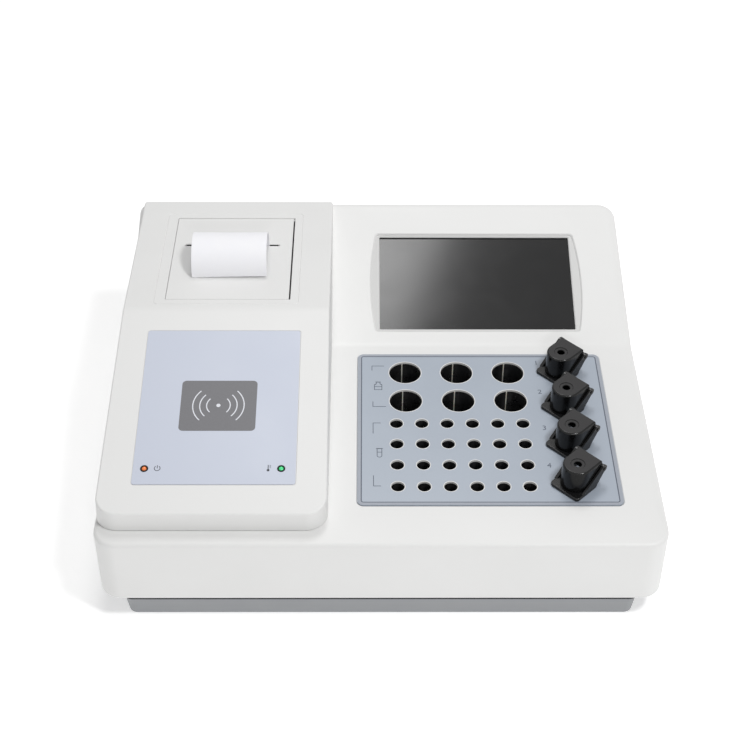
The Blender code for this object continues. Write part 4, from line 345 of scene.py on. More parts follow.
ANODISED = black_anodised_aluminium()
ZINC = zinc_plated_steel()
STEEL_SHEET = brushed_sheet("brushed_steel_sheet", "#B9BBBD", 0.34)
MILLED_ALUMINIUM = brushed_sheet("milled_aluminium", "#D3D5D7", 0.30)

# %% [markdown]
# The rest is small but shows when a lid opens: glass-fibre board under green solder
# mask with copper tracks, orange silicone over a heating foil, natural nylon gears,
# thermal paper, tinted lamp lenses, and the black printed glass of the display.

# %% Board, silicone, nylon, paper


def solder_mask():
    """Green solder mask over tracks, which show as a lighter grid of about 2.5 mm."""
    material, tree, shader, metres = new_material("solder_mask_board", "#0F5A36", 0.38, ior=1.55)
    tracks = add_node(tree, "ShaderNodeTexBrick", {"offset": 0.35}, Vector=metres, Scale=per_metre(2.5),
                      Mortar__Size=0.09, Color1=linear("#0E5533"), Color2=linear("#125F3A"),
                      Mortar=linear("#2C8A57"))
    tree.links.new(tracks.outputs["Color"], shader.inputs["Base Color"])
    grain(tree, shader, tracks.outputs["Fac"], 0.03, 0.5)
    return material


def heater_silicone():
    """Calendered silicone sheet, orange-red, with a faint weave of glass cloth."""
    material, tree, shader, metres = new_material("heater_silicone", "#B8512B", 0.6, ior=1.43)
    weave = add_node(tree, "ShaderNodeTexChecker", Vector=metres, Scale=per_metre(0.8),
                     Color1=linear("#B24C28"), Color2=linear("#C05A30"))
    tree.links.new(weave.outputs["Color"], shader.inputs["Base Color"])
    grain(tree, shader, weave.outputs["Fac"], 0.03, 0.3)
    return material


def natural_nylon():
    """Natural nylon: milky, with light passing a little way in."""
    material, tree, shader, metres = new_material("natural_nylon", "#E2DFD4", 0.45, ior=1.53)
    shader.inputs["Subsurface Weight"].default_value = 0.15
    shader.inputs["Subsurface Scale"].default_value = 0.001
    vary(tree, shader, metres, "#DCD8CB", "#E8E5DB", 8, 0.38, 0.52)
    return material


def thermal_paper():
    """Coated thermal paper: bluish white, matt, with a fibre grain of about 1 mm."""
    material, tree, shader, metres = new_material("thermal_paper", "#F1F2F8", 0.62, ior=1.5)
    vary(tree, shader, metres, "#F6F6FB", "#FCFCFE", 12, 0.56, 0.68)
    fibres = add_node(tree, "ShaderNodeTexNoise", Vector=metres, Scale=per_metre(1.0), Detail=5.0)
    grain(tree, shader, fibres.outputs["Fac"], 0.02, 0.2)
    return material


BOARD = solder_mask()
SILICONE = heater_silicone()
NYLON = natural_nylon()
PAPER = thermal_paper()

# %% Glass and lamp lenses


def display_glass():
    """Glass printed black behind: an anti-glare front that blurs the lamp overhead, and smears of handling."""
    material, tree, shader, metres = new_material("black_printed_glass", "#040405", 0.15, ior=1.42)
    smears = add_node(tree, "ShaderNodeTexNoise", Vector=metres, Scale=per_metre(30), Detail=3.0, Distortion=1.0)
    rough = add_node(tree, "ShaderNodeMapRange", _0=smears.outputs["Fac"], _1=0.4, _2=0.7, _3=0.14, _4=0.16)
    tree.links.new(rough.outputs[0], shader.inputs["Roughness"])
    return material


def tinted_lens(name, colour, glow):
    """Tinted polycarbonate lamp lens, softly lit from below."""
    material, tree, shader, metres = new_material(name, colour, 0.18, ior=1.58)
    shader.inputs["Emission Color"].default_value = linear(glow)
    shader.inputs["Emission Strength"].default_value = 0.35
    vary(tree, shader, metres, colour, glow, 2.5, 0.14, 0.24)
    return material


GLASS = display_glass()
AMBER_LENS = tinted_lens("amber_polycarbonate", "#BC5629", "#E88344")
GREEN_LENS = tinted_lens("green_polycarbonate", "#1CA65C", "#50E292")
print(len(bpy.data.materials), "materials so far")

# %% [markdown]
# Most pieces of this instrument are outlines with round corners, stacked into shells.
# So the modelling kit is small: one function rounds an outline's corners, one skins a
# stack of outlines into a closed solid, one cuts one solid out of another, and one
# smooths the result but keeps flat faces flat by weighting normals by face area.

# %% Modelling kit
CUT_REACH = 0.0100
SHARP_ANGLE = radians(32)
EDGE_LEAST = 0.0003


def rounded(corners, radii, steps=8):
    """Outline with each corner replaced by an arc of its radius; zero keeps the corner."""
    if not isinstance(radii, (list, tuple)):
        radii = [radii] * len(corners)
    outline = []
    for index, radius in enumerate(radii):
        corner = Vector(corners[index])
        if radius <= 0:
            outline.append(tuple(corner))
            continue
        before = (Vector(corners[index - 1]) - corner).normalized()
        after = (Vector(corners[(index + 1) % len(corners)]) - corner).normalized()
        half = before.angle(after) / 2
        centre = corner + (before + after).normalized() * (radius / sin(half))
        start = corner + before * (radius / tan(half)) - centre
        end = corner + after * (radius / tan(half)) - centre
        sweep = start.angle_signed(end)
        for step in range(steps + 1):
            outline.append(tuple(centre + Matrix.Rotation(-sweep * step / steps, 2) @ start))
    return outline


def rectangle(half_x, half_y, radius=0.0, steps=8, middle=(0, 0)):
    """Rectangle about a middle, with round corners if it has a radius."""
    x, y = middle
    corners = [(x - half_x, y - half_y), (x + half_x, y - half_y), (x + half_x, y + half_y), (x - half_x, y + half_y)]
    return rounded(corners, radius, steps)


def circle(radius, steps=48, middle=(0, 0)):
    """Circle about a middle."""
    turns = [2 * pi * step / steps for step in range(steps)]
    return [(middle[0] + radius * cos(turn), middle[1] + radius * sin(turn)) for turn in turns]


def skin(work, rings):
    """Faces between rings of as many points; returns the rings' vertices."""
    rows = [[work.verts.new(point) for point in ring] for ring in rings]
    for lower, upper in zip(rows, rows[1:]):
        for index, vert in enumerate(lower):
            after = (index + 1) % len(lower)
            work.faces.new((vert, lower[after], upper[after], upper[index]))
    return rows


def mesh_of(work, name, turn=None):
    """Mesh data of a bmesh, moved to its place, with its faces pointing out."""
    if turn is not None:
        bmesh.ops.transform(work, matrix=turn, verts=work.verts)
    bmesh.ops.recalc_face_normals(work, faces=work.faces)
    mesh = bpy.data.meshes.new(name)
    work.to_mesh(mesh)
    work.free()
    return mesh


def stacked(name, layers, turn=None):
    """Closed solid through a stack of (outline, height) layers."""
    work = bmesh.new()
    rows = skin(work, [[(x, y, height) for x, y in outline] for outline, height in layers])
    work.faces.new(rows[0][::-1])
    work.faces.new(rows[-1])
    return mesh_of(work, name, turn)


def thing_of(mesh, material=None):
    """Object for a mesh."""
    thing = bpy.data.objects.new(mesh.name, mesh)
    bpy.context.scene.collection.objects.link(thing)
    if material:
        thing.data.materials.append(material)
    return thing


def settle(thing):
    """Make the result of an object's modifiers its own mesh."""
    bpy.context.view_layer.update()
    evaluated = thing.evaluated_get(bpy.context.evaluated_depsgraph_get())
    mesh = bpy.data.meshes.new_from_object(evaluated)
    thing.modifiers.clear()
    thing.data = mesh
    return thing


def combine(thing, operation, meshes):
    """Cut meshes away from an object, or join them on."""
    tools = []
    for mesh in meshes:
        tool = thing_of(mesh)
        modifier = thing.modifiers.new(mesh.name, "BOOLEAN")
        modifier.operation = operation
        modifier.solver = "EXACT"
        modifier.object = tool
        tools.append(tool)
    settle(thing)
    for tool in tools:
        bpy.data.objects.remove(tool)
    return thing


def bevelled(thing, width, segments=3, angle=radians(40)):
    """Round the edges of an object."""
    bevel = thing.modifiers.new("edges", "BEVEL")
    bevel.width = width
    bevel.segments = segments
    bevel.limit_method = "ANGLE"
    bevel.angle_limit = angle
    bevel.harden_normals = False
    return settle(thing)


def smoothed(thing, angle=SHARP_ANGLE):
    """Smooth shading that keeps sharp edges, and keeps large flat faces flat."""
    thing.data.shade_smooth()
    thing.data.set_sharp_from_angle(angle=angle)
    weight = thing.modifiers.new("flat_faces", "WEIGHTED_NORMAL")
    weight.keep_sharp = True
    weight.weight = 100
    return settle(thing)


def install(thing, body, slot, *replaced):
    """Let a finished piece ride on its body, in place of the parts that it refines."""
    smoothed(thing)
    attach(thing, body)
    if replaced:
        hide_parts(*replaced)
    return thing


def lerp(first, second, share):
    """Point between two points."""
    return tuple(a + (b - a) * share for a, b in zip(first, second))


# %% [markdown]
# The case is one deep moulding, open below. Seen from above it is a rectangle with
# round corners. The wall ends in a small round edge, and inside it runs a shoulder that
# falls away gently: about 30 mm deep at the front and 7 mm at the sides. The shoulder
# is what makes the front edge glow in the photograph. Stacking outlines follows all of
# that with few rings, and the fold between deck and screen gets its own points.

# %% Outline and roof of the case
CASE_FRONT_RADIUS = 0.0158
CASE_REAR_RADIUS = 0.0130
CASE_REAR_LEFT_RADIUS = 0.0080
CASE_WALL = 0.0030
CASE_TOP_ROUND = 0.0028
CASE_FOOT_ROUND = 0.0018
REAR_LEAN = 0.0035
SIDE_LEAN = 0.0028
LEAN_HEIGHT = 0.0680
SHOULDER_FRONT = 0.0310
SHOULDER_SIDE = 0.0067
SHOULDER_FALL_FRONT = 0.0012
SHOULDER_FALL_SIDE = 0.0005
SHOULDER_RADIUS = 0.0030
FOLD_BLEND = 0.0030
FOLD_STEPS = 4
CASE_CORNER_STEPS = 14
EDGE_STEPS = 6
SHOULDER_STEPS = 5


def blended(y, fold, height, low_slope, high_slope, blend):
    """Height of two slopes that meet at a fold, rounded over a distance to each side of it."""
    offset = y - fold
    if abs(offset) >= blend:
        return height + offset * tan(low_slope if offset < 0 else high_slope)
    change = tan(high_slope) - tan(low_slope)
    return height + offset * tan(low_slope) + change * (offset + blend) ** 2 / (4 * blend)


def roof(y):
    """Height of the deck and the screen face."""
    return blended(y, FOLD_Y, FOLD_HEIGHT, DECK_SLOPE, SCREEN_SLOPE, FOLD_BLEND)


def leaned(x, y, z):
    """Point of the case after its rear wall has been leaned forward above the rear plate."""
    behind = max(0, (y - FOLD_Y) / (BODY_HIGH.y - FOLD_Y))
    above = max(0, (z - LEAN_HEIGHT) / (roof(BODY_HIGH.y) - LEAN_HEIGHT))
    moved = y - REAR_LEAN * behind * above
    inward = max(0, x / BODY_HIGH.x) * SIDE_LEAN * behind * above
    return x - inward, moved, z - roof(y) + roof(moved)


def fold_points(fold, blend):
    """Places along Y where a rounded fold needs points."""
    return [fold + blend * (2 * step / FOLD_STEPS - 1) for step in range(FOLD_STEPS + 1)]


def case_outline(front, side, rear, radii):
    """The case from above, moved in by a distance at the front, the sides and the rear."""
    left, right = BODY_LOW.x + side, BODY_HIGH.x - side
    low, high = BODY_LOW.y + front, BODY_HIGH.y - rear
    folds = fold_points(FOLD_Y, FOLD_BLEND)
    corners = [(left, low), (right, low)] + [(right, y) for y in folds]
    corners += [(right, high), (left, high)] + [(left, y) for y in reversed(folds)]
    flat = [0] * len(folds)
    return rounded(corners, radii[:2] + flat + radii[2:] + flat, CASE_CORNER_STEPS)


def close_top(work, ring, corner_points, side_points, folds):
    """Close a ring whose left and right sides have matching points, with flat faces between the folds."""
    right = list(range(2 * corner_points, 2 * corner_points + side_points))
    left = list(range(len(ring) - 1, len(ring) - 1 - side_points, -1))
    first, last = folds
    work.faces.new([ring[index] for index in range(0, right[first] + 1)]
                   + [ring[index] for index in range(left[first], len(ring))])
    for step in range(first, last):
        work.faces.new([ring[index] for index in (right[step], right[step + 1], left[step + 1], left[step])])
    work.faces.new([ring[index] for index in range(right[last], left[last] + 1)])


# %% The case shell


def case_ring(inset, height_of):
    """One ring of the case, moved in by a distance."""
    radii = [CASE_FRONT_RADIUS, CASE_FRONT_RADIUS, CASE_REAR_RADIUS, CASE_REAR_LEFT_RADIUS]
    outline = case_outline(inset, inset, inset, [radius - inset for radius in radii])
    return [(x, y, height_of(y)) for x, y in outline]


def case_rings():
    """Rings of the case: round its foot, up the wall, over its round edge and across its shoulder."""
    rings = []
    for step in range(EDGE_STEPS):
        turn = pi / 2 * step / EDGE_STEPS
        height = BODY_LOW.z + CASE_FOOT_ROUND * (1 - cos(turn))
        rings.append(case_ring(CASE_FOOT_ROUND * (1 - sin(turn)), lambda y, z=height: z))
    rings.append(case_ring(0, lambda y: min(LEAN_HEIGHT, roof(y) - 4 * CASE_TOP_ROUND)))
    edge = case_ring(CASE_TOP_ROUND, roof)
    falls = [fall_at(y) for _, y, _ in edge]
    for step in range(EDGE_STEPS + 1):
        turn = pi / 2 * step / EDGE_STEPS
        drop = CASE_TOP_ROUND * (1 - sin(turn))
        ring = case_ring(CASE_TOP_ROUND * (1 - cos(turn)), roof)
        rings.append([(x, y, z - drop - fall) for (x, y, z), fall in zip(ring, falls)])
    inner = case_outline(SHOULDER_FRONT, SHOULDER_SIDE, SHOULDER_SIDE, [SHOULDER_RADIUS] * 4)
    for step in range(1, SHOULDER_STEPS + 1):
        share = step / SHOULDER_STEPS
        band = [lerp(point[:2], target, share) for point, target in zip(edge, inner)]
        rings.append([(x, y, roof(y) - fall * (1 - share) ** 2) for (x, y), fall in zip(band, falls)])
    return [[leaned(*point) for point in ring] for ring in rings]


def fall_at(y):
    """How far the shoulder falls: most at the front, little along the sides."""
    share = min(max((BODY_LOW.y + CASE_FRONT_RADIUS - y) / CASE_FRONT_RADIUS, 0), 1)
    return SHOULDER_FALL_SIDE + (SHOULDER_FALL_FRONT - SHOULDER_FALL_SIDE) * share


def case_solid(name, rings):
    """Solid through the case's rings."""
    work = bmesh.new()
    rows = skin(work, rings)
    work.faces.new(rows[0][::-1])
    close_top(work, rows[-1], CASE_CORNER_STEPS + 1, FOLD_STEPS + 1, (0, FOLD_STEPS))
    return mesh_of(work, name)


case = thing_of(case_solid("case_shell", case_rings()), WHITE_ABS)
rim = CASE_FOOT_ROUND + CASE_WALL / 3
case_hollow = [case_ring(rim, lambda y: BODY_LOW.z - CUT_REACH), case_ring(rim, lambda y: BODY_LOW.z + CASE_FOOT_ROUND),
               case_ring(CASE_WALL, lambda y: BODY_LOW.z + 2 * CASE_FOOT_ROUND),
               case_ring(CASE_WALL, lambda y: min(LEAN_HEIGHT, roof(y) - 4 * CASE_TOP_ROUND)),
               case_ring(CASE_WALL, lambda y: roof(y) - CASE_WALL)]
case_hollow = [[leaned(*point) for point in ring] for ring in case_hollow]
combine(case, "DIFFERENCE", [case_solid("case_hollow", case_hollow)])
print("case shell", len(case.data.polygons), "faces")

# %% [markdown]
# The openings come next: the recess that takes the film of the well panel, a window for
# the well bars, four holes for the channels, the bowed recess with the window of the
# display, the large opening below the cover, and the one for the rear connectors. Each
# recess gets a cutter that widens at its mouth, so its edge keeps a small chamfer that
# catches the light.

# %% Openings of the case
PANEL_HALF = Vector((0.1856 / 2, 0.1608 / 2))
PANEL_RADIUS = 0.0045
PANEL_RECESS = 0.0010
PIECE_GAP = 0.0003
MOUTH_CHAMFER = 0.0005
BAR_HALF_WIDTH = 0.1176 / 2
WELLS_SHIFT_X = -0.0178
CHANNEL_X = 0.0606
CHANNEL_PITCH = 0.0400
CHANNEL_ROWS = [-1.5 * CHANNEL_PITCH, -0.5 * CHANNEL_PITCH, 0.5 * CHANNEL_PITCH, 1.5 * CHANNEL_PITCH]
SOCKET_RADIUS = 0.0085
VIEW_HALF = Vector((0.1541 / 2, 0.0896 / 2))
VIEW_RISE = 0.0008
VIEW_RADIUS = 0.0008
RECESS_HALF = Vector((0.1595 / 2, 0.0942 / 2))
RECESS_RISE = 0.0003
RECESS_BOW = 0.0044
RECESS_RADIUS = 0.0028
RECESS_DEPTH = 0.0014
BOW_STEPS = 16
COVER_OPENING_INSET = 0.0135
REAR_OPENING_HALF = 0.0540
REAR_OPENING_HEIGHTS = (0.0284, 0.0644)
REAR_PLATE_X = 0.1050


def mouth(outline_at, depth, chamfer=MOUTH_CHAMFER):
    """Layers of a recess cutter whose mouth is a little wider."""
    return [(outline_at(0), -depth), (outline_at(0), -chamfer), (outline_at(chamfer), 0),
            (outline_at(chamfer * 2), CUT_REACH)]


def panel_outline(grow):
    """Outline of the panel recess, grown outwards."""
    reach = PIECE_GAP + grow
    return rectangle(PANEL_HALF.x + reach, PANEL_HALF.y + reach, PANEL_RADIUS + reach, 10)


def bowed_outline(grow):
    """Recess round the display, whose left and right sides bow outwards."""
    half_x, half_y = RECESS_HALF.x + grow, RECESS_HALF.y + grow
    rises = [2 * step / BOW_STEPS - 1 for step in range(BOW_STEPS + 1)]
    right = [(half_x + RECESS_BOW * (1 - rise ** 2), RECESS_RISE + half_y * rise) for rise in rises]
    left = [(-x, 2 * RECESS_RISE - y) for x, y in right]
    radii = ([RECESS_RADIUS] + [0] * (BOW_STEPS - 1) + [RECESS_RADIUS]) * 2
    return rounded(right + left, radii, 6)


well_bars_low, well_bars_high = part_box("sample_bar_1"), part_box("reagent_bar_2")
bars_front = (PANEL.inverted() @ well_bars_low[0]).y + 0.0005
bars_rear = (PANEL.inverted() @ well_bars_high[1]).y + 0.0005
bars_half = (bars_rear - bars_front) / 2
window = rectangle(BAR_HALF_WIDTH + PIECE_GAP, bars_half, 0.001, 3, (WELLS_SHIFT_X, bars_front + bars_half))
cutters = [
    stacked("panel_recess", mouth(panel_outline, PANEL_RECESS), PANEL),
    stacked("bars_window", [(window, -CUT_REACH), (window, CUT_REACH)], PANEL),
    stacked("screen_recess", mouth(bowed_outline, RECESS_DEPTH, 0.0008), DISPLAY),
]
for row, y in enumerate(CHANNEL_ROWS):
    hole = circle(SOCKET_RADIUS + PIECE_GAP, 40, (CHANNEL_X, y))
    cutters.append(stacked(f"channel_hole_{row}", [(hole, -CUT_REACH), (hole, CUT_REACH)], PANEL))
view = [rectangle(VIEW_HALF.x + grow, VIEW_HALF.y + grow, VIEW_RADIUS + grow, 4, (0, VIEW_RISE))
        for grow in (0, 0, 0.0006, 0.0006)]
view_heights = (-CUT_REACH, -RECESS_DEPTH - 0.0006, -RECESS_DEPTH, CUT_REACH)
cutters.append(stacked("view_window", list(zip(view, view_heights)), DISPLAY))
opening = [(COVER_LOW.x + COVER_OPENING_INSET, COVER_LOW.y + COVER_OPENING_INSET),
           (COVER_HIGH.x - COVER_OPENING_INSET, COVER_LOW.y + COVER_OPENING_INSET),
           (COVER_HIGH.x - COVER_OPENING_INSET, BODY_HIGH.y - COVER_OPENING_INSET),
           (COVER_LOW.x + COVER_OPENING_INSET, BODY_HIGH.y - COVER_OPENING_INSET)]
opening = rounded(opening, 0.004, 6)
cutters.append(stacked("cover_opening", [(opening, BODY_LOW.z + 2 * CUT_REACH), (opening, COVER_TOP + CUT_REACH)]))
rear_middle = sum(REAR_OPENING_HEIGHTS) / 2
rear_hole = rectangle(REAR_OPENING_HALF, REAR_OPENING_HEIGHTS[1] - rear_middle, 0.002, 4)
rear_turn = Matrix.Translation((REAR_PLATE_X, BODY_HIGH.y, rear_middle)) @ Matrix.Rotation(pi / 2, 4, "X")
cutters.append(stacked("rear_opening", [(rear_hole, -CUT_REACH), (rear_hole, CUT_REACH)], rear_turn))
combine(case, "DIFFERENCE", cutters)
install(case, "analyzer", "white_abs", "main_housing")
print("case with openings", len(case.data.polygons), "faces")

# %% Painted shade in the display's recess
# A sheet 0.1 mm thick on the floor of the display's recess, in the darker white: painted shade of the recess's bowed
# sides.
SHADE_SHEET_GAP = 0.00002
SHADE_SHEET_THICKNESS = 0.00010
shade_sheet_low = SHADE_SHEET_GAP - RECESS_DEPTH
shade_sheet_edge = bowed_outline(-SHADE_SHEET_GAP)
shade_sheet_layers = [(shade_sheet_edge, shade_sheet_low), (shade_sheet_edge, shade_sheet_low + SHADE_SHEET_THICKNESS)]
recess_shade_sheet = thing_of(stacked("painted_recess_shade", shade_sheet_layers, DISPLAY), RECESS_SHADE_ABS)
combine(recess_shade_sheet, "DIFFERENCE", [stacked("shade_sheet_window", list(zip(view, view_heights)), DISPLAY)])
install(recess_shade_sheet, "analyzer", None)
print("recess_shade_sheet", len(recess_shade_sheet.data.polygons), "faces")

# %% [markdown]
# The pan's walls end in a deep folded skirt that almost reaches the bench and hides the feet.
# A band of black rubber between skirt and case is painted shade of the gap there. From the
# front it shows as the thin dark line that sets the white case off from the grey pan.

# %% Skirt of the pan, and the painted shade band under the case
SKIRT_SIDE_INSET = 0.0164
SKIRT_FRONT_INSET = 0.0042
SKIRT_RADIUS = 0.0065
SKIRT_DRAFT = 0.0020
SKIRT_LOW = 0.0004
SHADE_BAND_HEIGHT = 0.0043
SHADE_BAND_REACH = 0.0006
PAN_SIDE_INSET = 0.0192
PAN_FRONT_INSET = 0.0068


def looped(name, rings):
    """Closed tube through rings, from the last back to the first."""
    work = bmesh.new()
    rows = skin(work, rings)
    for index, vert in enumerate(rows[-1]):
        after = (index + 1) % len(rows[0])
        work.faces.new((vert, rows[-1][after], rows[0][after], rows[0][index]))
    return mesh_of(work, name)


def pan_ring(side_inset, front_inset, height):
    """Ring round the pan, moved in from the sides of the case."""
    half_x, half_y = BODY_HIGH.x - side_inset, BODY_HIGH.y - front_inset
    return [(x, y, height) for x, y in rectangle(half_x, half_y, SKIRT_RADIUS, 8)]


shade_band_low = BODY_LOW.z - SHADE_BAND_HEIGHT
skirt = [pan_ring(PAN_SIDE_INSET, PAN_FRONT_INSET, SKIRT_LOW),
         pan_ring(SKIRT_SIDE_INSET + SKIRT_DRAFT, SKIRT_FRONT_INSET + SKIRT_DRAFT / 2, SKIRT_LOW),
         pan_ring(SKIRT_SIDE_INSET, SKIRT_FRONT_INSET, shade_band_low), pan_ring(PAN_SIDE_INSET, PAN_FRONT_INSET, shade_band_low)]
install(thing_of(looped("pan_skirt", skirt), POWDER_COAT), "analyzer", "grey_paint")
# A black rubber band under the case: painted shade of the gap between case and skirt.
shade_band_side, shade_band_front = SKIRT_SIDE_INSET - SHADE_BAND_REACH, SKIRT_FRONT_INSET - SHADE_BAND_REACH
shade_band = [pan_ring(PAN_SIDE_INSET, PAN_FRONT_INSET, shade_band_low), pan_ring(shade_band_side, shade_band_front, shade_band_low),
        pan_ring(shade_band_side, shade_band_front, BODY_LOW.z), pan_ring(PAN_SIDE_INSET, PAN_FRONT_INSET, BODY_LOW.z)]
install(thing_of(looped("pan_shade_band", shade_band), RUBBER), "analyzer", "rubber")
print("skirt", round((shade_band_low - SKIRT_LOW) * 1000, 1), "mm high")

# %% [markdown]
# The raised cover at the left is a second moulding, screwed down from below. Its roof
# climbs with the card slope and turns level over the printer. A mould needs draft, so
# the sides lean in a little as they rise. Its top edge is crisp, only 1.3 mm round,
# and its foot follows the deck at a gap of 0.3 mm, which reads as a thin dark line.

# %% The cover
COVER_FRONT_RADIUS = 0.0150
COVER_REAR_RADIUS = 0.0020
COVER_WALL = 0.0032
COVER_TOP_ROUND = 0.0013
COVER_LEFT_DRAFT = 0.0032
COVER_RIGHT_DRAFT = 0.0010
COVER_FOLD_BLEND = 0.0040
FOOT_GAP = 0.00005
COVER_REAR_INSET = 0.0014


def cover_roof(y):
    """Height of the card slope and of the level top behind it."""
    return blended(y, COVER_FOLD_Y, COVER_TOP, CARD_SLOPE, 0, COVER_FOLD_BLEND)


def cover_foot(y):
    """Height of the cover's foot on the case."""
    return roof(y) + FOOT_GAP


def cover_ring(inset, height_of):
    """One ring of the cover, leaning in with its height."""
    left, right = COVER_LOW.x, COVER_HIGH.x
    low, high = COVER_LOW.y + inset, COVER_HIGH.y - inset
    sides = fold_points(COVER_FOLD_Y, COVER_FOLD_BLEND) + fold_points(FOLD_Y, FOLD_BLEND)
    corners = [(left + inset, low), (right - inset, low)] + [(right - inset, y) for y in sides]
    corners += [(right - inset, high), (left + inset, high)] + [(left + inset, y) for y in reversed(sides)]
    flat = [0] * len(sides)
    radii = [COVER_FRONT_RADIUS - inset] * 2 + flat + [max(COVER_REAR_RADIUS - inset, EDGE_LEAST)] * 2 + flat
    ring = []
    for x, y in rounded(corners, radii, CASE_CORNER_STEPS):
        behind = max(0, (y - FOLD_Y) / (COVER_HIGH.y - FOLD_Y))
        up = (height_of(y) - roof(COVER_HIGH.y)) / (COVER_TOP - roof(COVER_HIGH.y))
        y -= behind * lerp((REAR_LEAN,), (COVER_REAR_INSET,), up)[0]
        z = height_of(y)
        rise = (z - DECK_EDGE_HEIGHT) / (COVER_TOP - DECK_EDGE_HEIGHT)
        across = (x - left) / (right - left)
        lean = COVER_LEFT_DRAFT * (1 - across) - COVER_RIGHT_DRAFT * across
        ring.append((x + lean * rise, y, z))
    return ring


def cover_solid(name, rings):
    """Solid through the cover's rings, folded at its roof and at its foot."""
    work = bmesh.new()
    rows = skin(work, rings)
    side_points = 2 * (FOLD_STEPS + 1)
    close_top(work, rows[0], CASE_CORNER_STEPS + 1, side_points, (FOLD_STEPS + 1, 2 * FOLD_STEPS + 1))
    close_top(work, rows[-1], CASE_CORNER_STEPS + 1, side_points, (0, FOLD_STEPS))
    return mesh_of(work, name)


def cover_rings():
    """Rings of the cover from its foot to the inner edge of its rounded top."""
    rings = [cover_ring(0, cover_foot)]
    for step in range(EDGE_STEPS + 1):
        turn = pi / 2 * step / EDGE_STEPS
        drop = COVER_TOP_ROUND * (1 - sin(turn))
        rings.append(cover_ring(COVER_TOP_ROUND * (1 - cos(turn)), lambda y, d=drop: cover_roof(y) - d))
    return rings


cover = thing_of(cover_solid("cover_shell", cover_rings()), WHITE_ABS)
hollow = [cover_ring(COVER_WALL, lambda y: cover_foot(y) - CUT_REACH),
          cover_ring(COVER_WALL, lambda y: cover_roof(y) - COVER_WALL)]
print("cover", len(cover.data.polygons), "faces before its openings")

# %% [markdown]
# The cover's openings: the printer lid drops into a rectangular one, with a small
# chamfer and two bores for the lid's pins. A shallow groove frames the printer, as a
# sink line in the moulding does. The card label has a recess, and two lamps have holes.

# %% Openings of the cover
LID_GAP = 0.0006
LID_END_GAP = 0.0003
LID_LEFT_GAP = 0.0003
LID_RIGHT_GAP = 0.0011
LID_THICKNESS = COVER_WALL
LID_PIN_RADIUS = 0.0007
LID_PIN_REACH = 0.0025
LID_HALF = 0.0935 / 2
LID_SHIFT = 0.0011
LID_REAR = LID_HIGH.y
LID_PIN = Vector((COVER_MIDDLE, LID_HIGH.y, COVER_TOP - LID_THICKNESS / 2))
GROOVE_SIDE = 0.0078
GROOVE_FRONT = 0.0060
GROOVE_REAR = 0.0062
GROOVE_WIDTH = 0.0009
GROOVE_DEPTH = 0.0004
LABEL_HALF = Vector((0.1124 / 2, 0.1368 / 2))
LABEL_MIDDLE = Vector((0.0011, 0.0243 + LABEL_HALF.y))
LABEL_RADIUS = 0.0018
LABEL_RECESS = 0.0004
LAMP_RADIUS = 0.0026
LAMP_SPACING = 0.0945
LAMP_Y = 0.0375
TOP = Matrix.Translation((COVER_MIDDLE, 0, COVER_TOP))
ALONG_X = Matrix.Rotation(pi / 2, 4, "Y")


def lid_opening(grow):
    """Outline of the opening for the printer lid."""
    half_y = (LID_REAR - LID_LOW.y) / 2 + LID_END_GAP + grow
    return rectangle(LID_HALF + LID_GAP + grow, half_y, 0.0006, 3, (LID_SHIFT, (LID_REAR + LID_LOW.y) / 2))


def groove_ring(grow, height):
    """Ring of the groove round the printer."""
    front, rear = LID_LOW.y - GROOVE_FRONT, LID_REAR + GROOVE_REAR
    outline = rectangle(LID_HALF + GROOVE_SIDE + grow, (rear - front) / 2 + grow, 0.0030 + grow, 8,
                        (0, (rear + front) / 2))
    return [(COVER_MIDDLE + x, y, COVER_TOP + height) for x, y in outline]


def label_outline(grow):
    """Outline of the card label's recess."""
    reach = PIECE_GAP + grow
    return rectangle(LABEL_HALF.x + reach, LABEL_HALF.y + reach, LABEL_RADIUS + reach, 8, LABEL_MIDDLE)


half_groove = GROOVE_WIDTH / 2
groove = [groove_ring(half_groove * 2, half_groove), groove_ring(half_groove, 0), groove_ring(0, -GROOVE_DEPTH),
          groove_ring(-half_groove, 0), groove_ring(-half_groove * 2, half_groove)]
pin_reach = LID_HALF + LID_GAP + LID_PIN_REACH
bore = circle(LID_PIN_RADIUS + PIECE_GAP, 24)
lid_layers = [(lid_opening(0), -CUT_REACH), (lid_opening(0), -MOUTH_CHAMFER / 2), (lid_opening(MOUTH_CHAMFER / 2), 0),
              (lid_opening(MOUTH_CHAMFER), MOUTH_CHAMFER)]
lamp_places = [(side * LAMP_SPACING / 2, LAMP_Y) for side in (-1, 1)]
cutters = [
    cover_solid("cover_hollow", hollow),
    stacked("lid_opening", lid_layers, TOP),
    stacked("pin_bores", [(bore, -pin_reach - PIECE_GAP), (bore, pin_reach + PIECE_GAP)],
            Matrix.Translation((COVER_MIDDLE, LID_PIN.y - LID_THICKNESS / 2, LID_PIN.z)) @ ALONG_X),
    looped("printer_groove", groove),
    stacked("label_recess", mouth(label_outline, LABEL_RECESS, 0.0003), CARD),
]
for side, place in enumerate(lamp_places):
    hole = circle(LAMP_RADIUS + PIECE_GAP, 32, place)
    cutters.append(stacked(f"lamp_hole_{side}", [(hole, -CUT_REACH), (hole, CUT_REACH)], CARD))
combine(cover, "DIFFERENCE", cutters)
install(cover, "analyzer", "white_abs", "left_cover")
print("cover with openings", len(cover.data.polygons), "faces")

# %% [markdown]
# The printer lid is a flat flap. Its rear edge is half round about the two pins, so it
# can swing inside its opening without rubbing. The paper leaves through a slot with
# eased edges, then curls forward under its own set, because it comes off a small roll.

